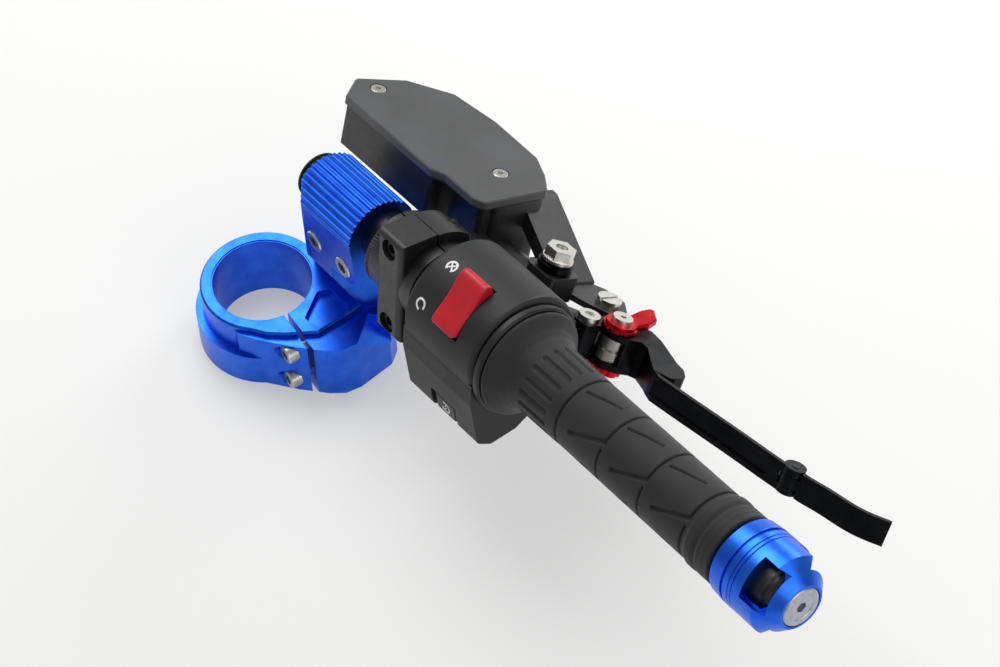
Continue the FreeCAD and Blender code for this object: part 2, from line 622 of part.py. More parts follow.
def kill_rocker():
    start, end = ROCKER_SPAN
    middle = (start + end) / 2
    root = [on_housing(ROCKER_ROOT, start + (end - start) * k / 4) for k in range(5)]
    crown = ((end, 26.6), (end - 2.5, 28.0), (end - 8, 28.2), (end - 16, 27.3), (middle + 4, 26.9),
             (middle, 26.8), (start + 16, 27.4), (start + 10, 28.6), (start + 7.5, 29.6), (start + 2.5, 29.8),
             (start, 28.6))
    outline = root + [on_housing(r, t) for t, r in crown]
    half = ROCKER_WIDTH / 2
    body = end_prism(outline, (ROCKER_X - half, ROCKER_X + half))
    side_edges = [e for e in body.Edges if abs(abs(e.CenterOfMass.x - ROCKER_X) - half) < 0.01
                  and math.hypot(e.CenterOfMass.y - HOUSING_OFFSET, e.CenterOfMass.z) > 26]
    body = body.makeChamfer(0.7, side_edges)
    body.rotate(rocker_pivot(), X, ROCKER_REST_TILT)
    return body.fuse(rocker_axle(*ROCKER_AXLE))


def rocker_pivot():
    y, z = on_housing(ROCKER_PIVOT_RADIUS, sum(ROCKER_SPAN) / 2)
    return Vector(ROCKER_X, y, z)


def housing_screw_room(x, y):
    seat = Vector(x, y, HOUSING_SCREW_SEAT)
    return screw_hole(M4, seat, Vector(0, 0, -1), 30, 40)


def housing_upper():
    ease = []
    for turn in (0, 30, 60, 90):
        angle = math.radians(turn)
        inward, lower = HOUSING_EDGE * (1 - math.sin(angle)), HOUSING_EDGE * (1 - math.cos(angle))
        ease.append((inward, HOUSING_RADIUS - lower))
    left = [(HOUSING[0] + x, r) for x, r in reversed(ease)]
    right = [(HOUSING[1] - x, r) for x, r in ease]
    disc = turned([(HOUSING[0], 0)] + left + right + [(HOUSING[1], 0)])
    disc.translate(Vector(0, HOUSING_OFFSET, 0))
    body = disc.common(box((HOUSING[0] - 1, HOUSING[1] + 1), (-FAR, FAR), (0, FAR)))
    body = body.cut(bar_room() + [rocker_pocket()])
    return body.cut([housing_screw_room(x, y) for x, y in HOUSING_SCREWS])


def button_cuts():
    cx, cz = BUTTON_CENTRE
    face = HOUSING_OFFSET - HOUSING_RADIUS - 2
    width, height, depth = BUTTON_RECESS
    recess = side_prism(((cx - width / 2, cz - height / 2), (cx + width / 2, cz - height / 2),
                         (cx + width / 2, cz + height / 2), (cx - width / 2, cz + height / 2)),
                        (face - 1, face + depth), 1.6)
    w, h = BUTTON_SIZE[0] / 2 + BUTTON_GAP, BUTTON_SIZE[1] / 2 + BUTTON_GAP
    well = side_prism(((cx - w, cz - h), (cx + w, cz - h), (cx + w, cz + h), (cx - w, cz + h)),
                      (face, face + depth + BUTTON_ROOM + 3.0), 1.2 + BUTTON_GAP)
    return [recess, well]


def housing_lower():
    body = end_prism(housing_profile(), HOUSING, 3.0)
    rear = HOUSING_OFFSET - HOUSING_RADIUS
    rim = end_prism(((rear, 0), (rear - 0.6, -6), (0, -6), (HOUSING_OFFSET + HOUSING_RADIUS - 1.6, -6),
                     (HOUSING_OFFSET + HOUSING_RADIUS, 0)), HOUSING)
    body = body.fuse(rim).removeSplitter()
    body = body.cut(bar_room() + button_cuts())
    return body.cut([housing_screw_room(x, y) for x, y in HOUSING_SCREWS])


def start_button():
    cx, cz = BUTTON_CENTRE
    floor = HOUSING_OFFSET - HOUSING_RADIUS - 2 + BUTTON_RECESS[2]
    w, h = BUTTON_SIZE[0] / 2, BUTTON_SIZE[1] / 2
    body = side_prism(((cx - w, cz - h), (cx + w, cz - h), (cx + w, cz + h), (cx - w, cz + h)),
                      (floor - BUTTON_PROUD, floor + BUTTON_ROOM), 1.2)
    rim = [e for e in body.Edges if e.BoundBox.YMax < floor - BUTTON_PROUD + 0.01]
    return body.makeChamfer(0.5, rim)


def housing_screws():
    screw = socket_screw(M4, 28)
    seats = [Vector(x, y, HOUSING_SCREW_SEAT) for x, y in HOUSING_SCREWS]
    return Part.makeCompound([set_at(screw, seat, Vector(0, 0, -1)) for seat in seats])


# Front brake master cylinder

def hold_seat(z):
    return Vector(HOLD_SCREW_X, -HOLD_REAR + M5[2] + HOLD_SINK, z)


def hold_blank(front):
    """One half of the clamp that holds the master cylinder to the tube."""
    ring = along_x(HOLD_RADIUS, HOLD_X)
    ears = box(HOLD_EARS, (-HOLD_REAR, HOLD_REAR), HOLD_EAR_SPAN)
    ears = ears.makeFillet(3.0, [e for e in ears.Edges if abs(e.tangentAt(e.FirstParameter).x) > 0.9
                                 or abs(e.tangentAt(e.FirstParameter).z) > 0.9])
    crowned = along_x(HOLD_EAR_CROWN, HOLD_EARS, 0.0, sum(HOLD_EAR_SPAN) / 2)
    ears = ears.common(crowned.fuse(box(HOLD_EARS, (-FAR, 0), (-FAR, FAR))))
    body = ring.fuse(ears)
    half = (HOLD_SPLIT / 2, FAR) if front else (-FAR, -HOLD_SPLIT / 2)
    return body.common(box((HOLD_X[0] - 1, HOLD_X[1] + 1), half, (-FAR, FAR)))


def hold_room():
    room = [along_x(BAR_RADIUS + CLAMP_FIT, (HOLD_X[0] - 5, HOLD_X[1] + 5))]
    room += [screw_hole(M5, hold_seat(z), Vector(0, -1, 0), HOLD_REAR + 10, 20) for z in HOLD_SCREWS_Z]
    return room


def master_clamp():
    body = hold_blank(False)
    teeth = []
    first, pitch, count = HOLD_TEETH
    for k in range(count):
        angle = math.radians(first + pitch * k)
        teeth.append(along_x(HOLD_TOOTH, (HOLD_X[0] - 1, HOLD_X[0] + 2.6),
                             -HOLD_RADIUS * math.sin(angle), HOLD_RADIUS * math.cos(angle)))
    return placed(body.cut(hold_room() + teeth), hold_frame)


def master_clamp_bolts():
    bolts = [set_at(socket_screw(M5, HOLD_REAR + 8), hold_seat(z), Vector(0, -1, 0)) for z in HOLD_SCREWS_Z]
    return placed(Part.makeCompound(bolts), hold_frame)


def tank_outline(inset):
    wire = rounded_wire(CAP_OUTLINE, 2.5)
    if inset:
        wire = wire.makeOffset2D(-inset)
    return Part.Face(wire)


def tank_solid(inset, z):
    face = tank_outline(inset)
    face.translate(Vector(0, 0, z[0]))
    return face.extrude(Vector(0, 0, z[1] - z[0]))


def notch(grow):
    x0, x1, y1, top = NOTCH
    return prism(((x0 - grow, 10), (x1 + grow, 10), (x1 + grow, y1 + grow), (x0 - grow, y1 + grow)),
                 (-FAR, top), 5.0 + grow)


def tank():
    """The fluid tank that is cast with the cylinder, open at the top under its cap."""
    seat = CAP_TOP - CAP_THICKNESS
    shell = tank_solid(CAP_OVERHANG, (TANK_BOTTOM, seat)).cut(notch(0))
    well = tank_solid(CAP_OVERHANG + TANK_WALL, (TANK_BOTTOM + TANK_WALL, seat + 1)).cut(notch(TANK_WALL))
    well = well.cut(box((CYLINDER[0] - 2, FAR), (0, FAR), (-FAR, 14)))
    posts = [along_z(SCREW_POST, spot, (0, FAR)) for spot in CAP_SCREWS]
    return shell, well.cut(posts)


def tank_end():
    """The tall wall that carries the tank down to the cylinder."""
    return prism(((46, 31), (64.4, 31), (65.0, 56), (52, 62), (46, 60)), (-9, CAP_TOP - CAP_THICKNESS), 3.0)


def lever_casting():
    """Cylinder, perch ears and sloping web, in the lever's frame."""
    barrel = along_x(CYLINDER_RADIUS, CYLINDER, CYLINDER_Y)
    ear = prism(((76, 26), (76, 50), (99, 68.6), (109.9, 70.6), (118.0, 65), (118.4, 57), (110.4, 51.6),
                 (98, 46.5), (93, 46.5), (93, 26)), (EAR[0], EAR[1]), 3.5)
    lower_ear = placed(ear, Placement(Vector(0, 0, -EAR[0] - EAR[1]), Rotation()))
    bridge = box((72, 88), (30, 58), (-EAR[1], EAR[1]))
    bridge = bridge.cut(prism(((76, 62), (76, 50.5), (90, 62)), (-FAR, FAR)))
    web = side_prism(((54, 29.5), (58, 29.2), (96, EAR[1]), (89, EAR[0]), (58, 22), (54, 22)), (45, 66), 1.0)
    x, y, top = BANJO
    boss = box((x - BANJO_BOSS, x + BANJO_BOSS), (y - BANJO_BOSS, y + BANJO_BOSS), (EAR[0], top))
    boss = boss.makeFillet(3.0, [e for e in boss.Edges if abs(e.tangentAt(e.FirstParameter).z) > 0.9])
    return barrel.fuse([ear, lower_ear, bridge, web, boss])


def neck():
    """Joins the clamp's front half to the cylinder."""
    return placed(box((50, 76), (10, 30), (-9.5, 9.5)), about_bar((HOLD_TILT + LEVER_TILT) / 2))


def master_body():
    shell, well = tank()
    bolted = placed(hold_blank(True), hold_frame)
    level_parts = [placed(shell, level_frame), placed(tank_end(), level_frame)]
    body = placed(lever_casting(), lever_frame).fuse(level_parts + [neck(), bolted])
    seat = CAP_TOP - CAP_THICKNESS
    cap_room = tank_solid(-SEAT_GAP, (seat, FAR))
    cuts = [placed(well, level_frame), placed(notch(0), level_frame), placed(cap_room, level_frame)]
    cuts += [placed(c, hold_frame) for c in hold_room()]
    bore = along_x(CYLINDER_BORE, (CYLINDER_BORE_START, CYLINDER[1] + 5), CYLINDER_Y)
    pivot = along_z(PIVOT_RADIUS + THREAD_FIT, PIVOT, (-FAR, FAR))
    outlet = rod(Vector(*BANJO) - Vector(0, 0, 12), Z, 3.2 + THREAD_FIT, 20)
    cuts += [placed(c, lever_frame) for c in (bore, pivot, outlet)]
    for x, y in CAP_SCREWS:
        cuts.append(placed(along_z(M4[0] + THREAD_FIT, (x, y), (seat - 11, seat + 1)), level_frame))
    for cut in cuts:
        body = body.cut(cut)
    return body.removeSplitter()


def reservoir_cap():
    plate = tank_solid(0.0, (CAP_TOP - CAP_THICKNESS, CAP_TOP))
    rim = [e for e in plate.Edges if e.BoundBox.ZMin > CAP_TOP - 0.01]
    plate = plate.makeChamfer(0.6, rim)
    holes = []
    for x, y in CAP_SCREWS:
        holes.append(screw_hole(M4, Vector(x, y, CAP_TOP - M4[2]), Z, 10, 10))
    return placed(plate.cut(holes), level_frame)


def cap_screws():
    screws = [set_at(socket_screw(M4, 9), Vector(x, y, CAP_TOP - M4[2]), Z) for x, y in CAP_SCREWS]
    return placed(Part.makeCompound(screws), level_frame)


def reservoir_diaphragm():
    """The rubber bellows under the cap, a tray with a fold round it."""
    top = CAP_TOP - CAP_THICKNESS - 0.1
    inset = CAP_OVERHANG + TANK_WALL + 0.4
    tray = tank_solid(inset, (top - 6, top)).cut(tank_solid(inset + 1.4, (top - 4.6, top + 1)))
    tray = tray.cut(notch(TANK_WALL + 0.4))
    for x, y in CAP_SCREWS:
        tray = tray.cut(along_z(SCREW_POST + 0.4, (x, y), (0, FAR)))
    return placed(tray, level_frame)


def piston():
    radius = CYLINDER_BORE - PISTON_FIT
    groove = radius - 1.2
    start, end = PISTON
    body = turned([(start, 0), (start, radius - 0.8), (start + 0.8, radius), (start + 3, radius),
                   (start + 3, groove), (start + 5, groove), (start + 5, radius), (end - 4, radius), (end - 4, groove),
                   (end - 2, groove), (end - 2, radius), (end, radius), (end, 0)])
    return placed(body, lever_frame.multiply(Placement(Vector(0, CYLINDER_Y, 0), Rotation())))


def push_rod():
    start = PISTON[1]
    end = NOSE_X - NOSE_RADIUS - RUN_GAP
    body = turned([(start, 0), (start, 4.6), (start + 1.6, 4.6), (start + 2.4, PUSH_ROD_RADIUS),
                   (end - 1.2, PUSH_ROD_RADIUS), (end, PUSH_ROD_RADIUS - 0.8), (end, 0)])
    return placed(body, lever_frame.multiply(Placement(Vector(0, CYLINDER_Y, 0), Rotation())))


def banjo_bolt():
    point = Vector(*BANJO)
    head = placed(hexagon(11.0, (5.2, 10.2)), Placement(point, Rotation()))
    collar = rod(point + Vector(0, 0, 4.4), Z, 6.6, 1.2)
    socket = rod(point + Vector(0, 0, 8.2), Z, 2.6, 5)
    body = head.fuse([collar, rod(point - Vector(0, 0, 5), Z, 3.2, 11)]).cut(socket)
    return placed(body.removeSplitter(), lever_frame)


def banjo_washers():
    point = Vector(*BANJO)
    washers = []
    for lift, radius, height in ((0.0, 6.8, 1.2), (3.2, 6.8, 1.2), (1.2, 7.6, 2.0)):
        ring = rod(point + Vector(0, 0, lift), Z, radius, height)
        washers.append(ring.cut(rod(point - Vector(0, 0, 1), Z, 3.2 + THREAD_FIT, 9)))
    return placed(washers[0].fuse(washers[1:]).removeSplitter(), lever_frame)


# Brake lever

def pivot_bolt():
    top = EAR[1]
    body = along_z(PIVOT_RADIUS, PIVOT, (-EAR[1] - 5.5, top)).fuse(along_z(5.2, PIVOT, (top, top + 3.0)))
    slot = box((PIVOT[0] - 0.7, PIVOT[0] + 0.7), (PIVOT[1] - 6, PIVOT[1] + 6), (top + 2.0, top + 4))
    return placed(body.cut(slot), lever_frame)


def pivot_nut():
    nut = placed(hexagon(11.0, (-5.0, 0)), Placement(Vector(PIVOT[0], PIVOT[1], -EAR[1]), Rotation()))
    return placed(nut.cut(along_z(PIVOT_RADIUS + THREAD_FIT, PIVOT, (-FAR, FAR))), lever_frame)


def lever_carrier():
    """The knuckle on the pivot bolt that pushes the piston and carries the blade."""
    half = EAR[0] - SIDE_GAP
    outline = ((102.2, 57), (102.2, 65), (106.4, 68.8), (113.4, 68.8), (117.8, 64), (118.0, 55), (121.8, 49.2),
               (125.4, 43.6), (124.3, 37.2), (118.2, 35.0), (111.4, CYLINDER_Y - NOSE_RADIUS),
               (NOSE_X - NOSE_RADIUS, 33.6), (NOSE_X - NOSE_RADIUS, 40.4), (111.9, 43.5), (109.9, 50))
    body = prism(outline, (-half, half), 2.6)
    body = body.fuse(along_z(NOSE_RADIUS, (NOSE_X, CYLINDER_Y), (-half, half)))
    front = box((NOSE_X - NOSE_RADIUS - 1, NOSE_X - NOSE_RADIUS), (30, 45), (-FAR, FAR))
    body = body.cut([front, along_z(ADJUSTER_BARREL + BARREL_ROOM, ADJUSTER, (-FAR, FAR)),
                     along_z(PIVOT_RADIUS + PIN_FIT, PIVOT, (-FAR, FAR)),
                     along_z(HINGE_RADIUS + PIN_FIT, HINGE, (-FAR, FAR))])
    return placed(body.removeSplitter(), lever_frame)


def blade_section(point, along, depth, low, flat):
    """A six-cornered slice of the lever: an upright rear face, narrow top and bottom, and a sloping front."""
    across = Vector(-along.y, along.x, 0)
    corners = ((0, -low), (0, low), (flat, low), (depth, flat * 0.6), (depth, -flat * 0.6), (flat, -low))
    points = [point + across * offset + Vector(0, 0, z) for offset, z in corners]
    return Part.makePolygon(points + [points[0]])


def blade_solid(rear, depths, low):
    """A curved bar with its rear face through the given points."""
    points = [Vector(x, y, 0) for x, y in rear]
    sections = []
    for i, point in enumerate(points):
        along = (points[min(i + 1, len(points) - 1)] - points[max(i - 1, 0)]).normalize()
        sections.append(blade_section(point, along, depths[i], low, BLADE_FLAT))
    return Part.makeLoft(sections, True, False)


def blade_hollow():
    """The long hollow milled into the blade's rear face, between two stations."""
    start, end, half, depth = HOLLOW
    line = Part.BSplineCurve()
    line.interpolate([Vector(x, y, 0) for x, y in BLADE_REAR])
    band = line.toShape().extrude(Vector(0, depth, 0)).extrude(Vector(0, 0, 2 * half))
    outside = line.toShape().extrude(Vector(0, -3, 0)).extrude(Vector(0, 0, 2 * half))
    hollow = band.fuse(outside)
    hollow.translate(Vector(0, 0, -half))
    return hollow.common(box((start, end), (0, FAR), (-FAR, FAR)))


def lever_blade():
    root = EAR[1]
    low = BLADE_HALF_HEIGHT
    lug = prism(LUG_OUTLINE, (-root, root), 3.0)
    side = side_prism(((108, root), (139, root), (152, low), (170, low), (170, -low), (152, -low),
                       (139, -root), (108, -root)), (20, 80))
    strip = blade_solid(BLADE_REAR, BLADE_DEPTHS, low)
    knuckle = along_z(KNUCKLE_RADIUS - 0.4, TIP_PIN, (-low, low))
    body = lug.common(side).fuse([strip, knuckle])
    slot = box((100, BLADE_ROOT_START), (20, 80), (-EAR[0], EAR[0]))
    tongue_room = along_z(KNUCKLE_RADIUS + SIDE_GAP, TIP_PIN, (-TONGUE_HALF - SIDE_GAP, TONGUE_HALF + SIDE_GAP))
    cuts = [slot, tongue_room, blade_hollow(), along_z(HINGE_RADIUS + THREAD_FIT, HINGE, (-FAR, FAR)),
            along_z(ADJUSTER_AXLE + PIN_FIT, ADJUSTER, (-FAR, FAR)),
            along_z(TIP_PIN_RADIUS + THREAD_FIT, TIP_PIN, (-FAR, FAR))]
    for cut in cuts:
        body = body.cut(cut)
    return placed(body.removeSplitter(), lever_frame)


def lever_tip():
    low = BLADE_HALF_HEIGHT - 0.2
    bar = blade_solid(TIP_REAR, TIP_DEPTHS, low)
    body = bar.cut(along_z(KNUCKLE_RADIUS + SIDE_GAP, TIP_PIN, (-FAR, FAR)))
    tongue = along_z(KNUCKLE_RADIUS - 0.4, TIP_PIN, (-TONGUE_HALF, TONGUE_HALF))
    x, y = TIP_PIN
    bridge = prism(((x + 0.5, y - 3.6), (x + 11, y + 0.8), (x + 11, y + 7.0), (x - 0.5, y + 4.0)),
                   (-TONGUE_HALF, TONGUE_HALF))
    body = body.fuse([tongue, bridge]).cut(along_z(TIP_PIN_RADIUS + PIN_FIT, TIP_PIN, (-FAR, FAR)))
    return placed(body.removeSplitter(), lever_frame)


def tip_pin():
    half = BLADE_HALF_HEIGHT + 0.2
    return placed(along_z(TIP_PIN_RADIUS, TIP_PIN, (-half, half)), lever_frame)


def hinge_screw():
    top = EAR[1]
    body = along_z(HINGE_RADIUS, HINGE, (-top - 0.5, top)).fuse(along_z(4.6, HINGE, (top, top + 2.4)))
    socket = placed(hexagon(4.0, (top + 0.8, top + 4)), Placement(Vector(*HINGE, 0), Rotation()))
    return placed(body.cut(socket), lever_frame)


def adjuster_barrel():
    half = EAR[0] - SIDE_GAP
    reach = EAR[1] + KNOB_LIFT
    body = along_z(ADJUSTER_BARREL, ADJUSTER, (-half, half))
    body = body.fuse(along_z(ADJUSTER_AXLE, ADJUSTER, (-reach, reach)))
    groove = along_z(ADJUSTER_BARREL + 1, ADJUSTER, (-0.5, 0.5))
    groove = groove.cut(along_z(ADJUSTER_BARREL - 0.8, ADJUSTER, (-1, 1)))
    body = body.cut([groove, along_z(SCREW_SHANK + THREAD_FIT, ADJUSTER, (0.5, reach + 1))])
    return placed(body, lever_frame)


def knob(z):
    body = along_z(ADJUSTER_KNOB, ADJUSTER, z)
    notches = []
    for k in range(8):
        angle = math.radians(45 * k + 10)
        reach = ADJUSTER_KNOB + 0.9
        spot = (ADJUSTER[0] + reach * math.cos(angle), ADJUSTER[1] + reach * math.sin(angle))
        notches.append(along_z(1.5, spot, (z[0] - 1, z[1] + 1)))
    return body.cut(notches)


def adjuster_wheel():
    low = EAR[1] + KNOB_LIFT
    waist = low + KNOB_HEIGHT * 0.5
    x, y = ADJUSTER
    disc = knob((low, waist)).fuse(along_z(WHEEL_TOP - 0.8, ADJUSTER, (waist, waist + 0.4)))
    disc = disc.fuse(along_z(WHEEL_TOP, ADJUSTER, (waist + 0.4, low + KNOB_HEIGHT)))
    top = low + KNOB_HEIGHT
    tab = prism([(x + dx, y + dy) for dx, dy in TAB_OUTLINE], (low, top), 0.8)
    tab = tab.makeChamfer(0.7, [e for e in tab.Edges if e.BoundBox.ZMin > top - 0.01])
    tab.rotate(Vector(x, y + WHEEL_TOP, low), X, TAB_RISE)
    tab = tab.common(box((x - FAR, x + FAR), (y, y + FAR), (low, FAR)))
    body = disc.fuse(tab).cut(along_z(SCREW_SHANK + THREAD_FIT, ADJUSTER, (low - 1, FAR)))
    return placed(body.removeSplitter(), lever_frame)


def adjuster_screw():
    """The small screw that holds the wheel on its barrel."""
    seat = EAR[1] + KNOB_LIFT + KNOB_HEIGHT
    radius, height = SCREW_HEAD
    head = along_z(radius, ADJUSTER, (seat, seat + height))
    socket = placed(hexagon(2.5, (seat + 0.8, seat + 4)), Placement(Vector(*ADJUSTER, 0), Rotation()))
    return placed(head.fuse(along_z(SCREW_SHANK, ADJUSTER, (1.5, seat + 0.5))).cut(socket), lever_frame)


def adjuster_cap():
    low = EAR[1] + KNOB_LIFT
    return placed(knob((-low - KNOB_HEIGHT, -low)), lever_frame)


ROW_PIECES = {
    "fork_clamp": fork_clamp,
    "fork_pinch_bolts": fork_pinch_bolts,
}
BAR_PIECES = {
    "bar_clamp_bolts": bar_clamp_bolts,
    "bar_tube": bar_tube,
    "tube_plug": tube_plug,
    "bar_end_sleeve": bar_end_sleeve,
    "bar_end_weight": bar_end_weight,
    "bar_end_screw": bar_end_screw,
    "bar_end_expander": bar_end_expander,
    "bar_end_nut": bar_end_nut,
    "throttle_sleeve": throttle_sleeve,
    "grip": grip,
    "switch_housing_upper": housing_upper,
    "switch_housing_lower": housing_lower,
    "housing_screws": housing_screws,
    "kill_switch_rocker": kill_rocker,
    "start_button": start_button,
    "master_cylinder_body": master_body,
    "master_clamp": master_clamp,
    "master_clamp_bolts": master_clamp_bolts,
    "reservoir_cap": reservoir_cap,
    "cap_screws": cap_screws,
    "reservoir_diaphragm": reservoir_diaphragm,
    "piston": piston,
    "push_rod": push_rod,
    "banjo_bolt": banjo_bolt,
    "banjo_washers": banjo_washers,
    "pivot_bolt": pivot_bolt,
    "pivot_nut": pivot_nut,
    "lever_carrier": lever_carrier,
    "lever_blade": lever_blade,
    "hinge_screw": hinge_screw,
    "lever_tip": lever_tip,
    "tip_pin": tip_pin,
    "adjuster_barrel": adjuster_barrel,
    "adjuster_wheel": adjuster_wheel,
    "adjuster_screw": adjuster_screw,
    "adjuster_cap": adjuster_cap,
}


def main():
    os.makedirs("parts", exist_ok=True)
    for name, build in ROW_PIECES.items():
        build().exportStep("parts/" + name + ".step")
    for name, build in BAR_PIECES.items():
        placed(build(), bar_frame).exportStep("parts/" + name + ".step")


main()
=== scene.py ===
import bmesh
import bpy
import math
import numpy as np
from mathutils import Matrix, Vector


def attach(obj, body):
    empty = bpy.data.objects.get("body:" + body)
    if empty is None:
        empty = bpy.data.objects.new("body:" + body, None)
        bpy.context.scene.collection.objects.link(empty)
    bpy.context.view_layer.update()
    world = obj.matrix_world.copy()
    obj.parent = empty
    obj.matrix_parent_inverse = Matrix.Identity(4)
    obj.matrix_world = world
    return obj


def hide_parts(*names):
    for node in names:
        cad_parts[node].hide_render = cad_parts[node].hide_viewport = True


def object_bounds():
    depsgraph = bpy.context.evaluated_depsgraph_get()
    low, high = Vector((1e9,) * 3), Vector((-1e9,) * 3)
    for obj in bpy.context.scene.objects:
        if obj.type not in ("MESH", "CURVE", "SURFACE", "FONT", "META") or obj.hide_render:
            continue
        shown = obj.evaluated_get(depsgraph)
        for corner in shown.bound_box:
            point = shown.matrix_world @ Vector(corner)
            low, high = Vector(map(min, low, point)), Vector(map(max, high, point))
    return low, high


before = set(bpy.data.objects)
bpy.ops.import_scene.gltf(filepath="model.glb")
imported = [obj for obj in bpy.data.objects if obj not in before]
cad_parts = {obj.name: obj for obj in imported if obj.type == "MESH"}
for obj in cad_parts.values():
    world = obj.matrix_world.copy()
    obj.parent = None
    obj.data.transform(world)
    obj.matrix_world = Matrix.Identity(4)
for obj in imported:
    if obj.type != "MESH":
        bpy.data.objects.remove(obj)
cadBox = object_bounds()
print("frame loaded:", len(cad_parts), "nodes")

mm = 0.001


def turn(axis, degrees):
    return Matrix.Rotation(math.radians(degrees), 4, axis)


# The handlebar tube's own frame, x outboard along the tube, in millimetres until toMetres
barPlace = {"start": (32.6, 14.1, 52.8), "sweep": 38.0, "rise": 7.8, "leverTilt": 32.0, "holdTilt": 12.0}
toMetres = Matrix.Scale(mm, 4)
barFrame = (toMetres @ Matrix.Translation(barPlace["start"])
            @ turn("Z", -barPlace["sweep"]) @ turn("Y", -barPlace["rise"]))
leverFrame = barFrame @ turn("X", -barPlace["leverTilt"])
holdFrame = barFrame @ turn("X", -barPlace["holdTilt"])


# Materials

def toLinear(hexCode):
    # sRGB hex to linear RGBA
    values = [int(hexCode[i:i + 2], 16) / 255 for i in (1, 3, 5)]
    return [v / 12.92 if v <= 0.04045 else ((v + 0.055) / 1.055) ** 2.4 for v in values] + [1.0]


def addNode(tree, kind, settings=None, inputs=None):
    # one node with its settings; an input is a value, or the output socket that feeds it
    node = tree.nodes.new(kind)
    for name, value in (settings or {}).items():
        setattr(node, name, value)
    for name, value in (inputs or {}).items():
        if isinstance(value, bpy.types.NodeSocket):
            tree.links.new(value, node.inputs[name])
        else:
            node.inputs[name].default_value = value
    return node


def startMaterial(name, **shaderValues):
    material = bpy.data.materials.new(name)
    material.use_nodes = True
    tree = material.node_tree
    tree.nodes.clear()
    shader = addNode(tree, "ShaderNodeBsdfPrincipled", inputs=shaderValues)
    addNode(tree, "ShaderNodeOutputMaterial", inputs={"Surface": shader.outputs["BSDF"]})
    return material, tree, shader


def objectPoint(tree):
    return addNode(tree, "ShaderNodeTexCoord").outputs["Object"]


def placeOnBar(tree):
    # Object coordinates turned so that X runs along the handlebar tube, still in metres
    place = barFrame @ toMetres.inverted()
    return addNode(tree, "ShaderNodeMapping", {"vector_type": "TEXTURE"}, {
        "Vector": objectPoint(tree), "Location": place.to_translation(), "Rotation": place.to_euler(),
    }).outputs["Vector"]


def noiseAt(tree, point, patternMm, detail=2.0, roughness=0.5, stretch=None):
    # a noise whose blotches are patternMm across
    if stretch:
        point = addNode(tree, "ShaderNodeMapping", inputs={"Vector": point, "Scale": stretch}).outputs["Vector"]
    return addNode(tree, "ShaderNodeTexNoise", inputs={
        "Vector": point, "Scale": 1.0 / (patternMm * mm), "Detail": detail, "Roughness": roughness}).outputs["Fac"]


def spread(tree, value, low, high, fromLow=0.3, fromHigh=0.7):
    return addNode(tree, "ShaderNodeMapRange", inputs={
        "Value": value, "From Min": fromLow, "From Max": fromHigh, "To Min": low, "To Max": high}).outputs["Result"]


def paintClouds(tree, shader, clouds, first, second):
    # base colour that drifts between two close colours; 0, 6 and 7 are the mix node's factor and its two colours
    mixed = addNode(tree, "ShaderNodeMix", {"data_type": "RGBA"}, {
        0: spread(tree, clouds, 0.0, 1.0), 6: toLinear(first), 7: toLinear(second)})
    tree.links.new(mixed.outputs[2], shader.inputs["Base Color"])


def roughenBy(tree, shader, value, low, high):
    tree.links.new(spread(tree, value, low, high), shader.inputs["Roughness"])


def raiseBy(tree, shader, height, depthMm, edgeMm=0.0):
    # bump of a real depth; edgeMm is the small radius that breaks every sharp edge
    inputs = {"Height": height, "Distance": depthMm * mm}
    if edgeMm:
        rounded = addNode(tree, "ShaderNodeBevel", {"samples": 4}, {"Radius": edgeMm * mm})
        inputs["Normal"] = rounded.outputs["Normal"]
    bump = addNode(tree, "ShaderNodeBump", inputs=inputs).outputs["Normal"]
    tree.links.new(bump, shader.inputs["Normal"])


anodised = {
    "light": "#2f6fe8",
    "deep": "#1f59d8",
    "edge": 0.3,          # mm, the deburred edges
    "tint": 9.0,          # mm across a cloud of the dye
    "millPitch": 0.45,    # mm between cutter marks, drawn coarser than real so that they show
    "millDepth": 0.004,
    "roughness": (0.27, 0.38),
    "turnedStretch": (1.0, 0.02, 0.02),    # marks run round the tube
    "milledStretch": (0.04, 1.0, 1.0),     # marks run along it
}


def anodisedAluminium(name, light, deep, turned):
    # machined aluminium dyed in the anodising bath: coloured metal, satin, with faint cutter marks
    material, tree, shader = startMaterial(name, Metallic=1.0)
    point = placeOnBar(tree)
    paintClouds(tree, shader, noiseAt(tree, point, anodised["tint"]), light, deep)
    stretch = anodised["turnedStretch"] if turned else anodised["milledStretch"]
    marks = noiseAt(tree, point, anodised["millPitch"], detail=3.0, stretch=stretch)
    roughenBy(tree, shader, marks, *anodised["roughness"])
    raiseBy(tree, shader, marks, anodised["millDepth"], anodised["edge"])
    return material


# Skins of the other materials: clouds, grains, depths and edges in millimetres
screwSkin = {"clouds": 3.0, "grain": 0.4, "grainDepth": 0.002, "edge": 0.15, "smoother": 0.04, "rougher": 0.06}


def socketScrewSteel(name, colour, dark, roughness):
    # cold-headed steel, plated: bright, with grey in the low spots
    skin = screwSkin
    material, tree, shader = startMaterial(name, Metallic=1.0)
    point = objectPoint(tree)
    clouds = noiseAt(tree, point, skin["clouds"], detail=3.0)
    paintClouds(tree, shader, clouds, colour, dark)
    roughenBy(tree, shader, clouds, roughness - skin["smoother"], roughness + skin["rougher"])
    raiseBy(tree, shader, noiseAt(tree, point, skin["grain"]), skin["grainDepth"], skin["edge"])
    return material


plasticSkin = {"clouds": 14.0, "edge": 0.3, "smoother": 0.04, "rougher": 0.05, "specular": 0.35}


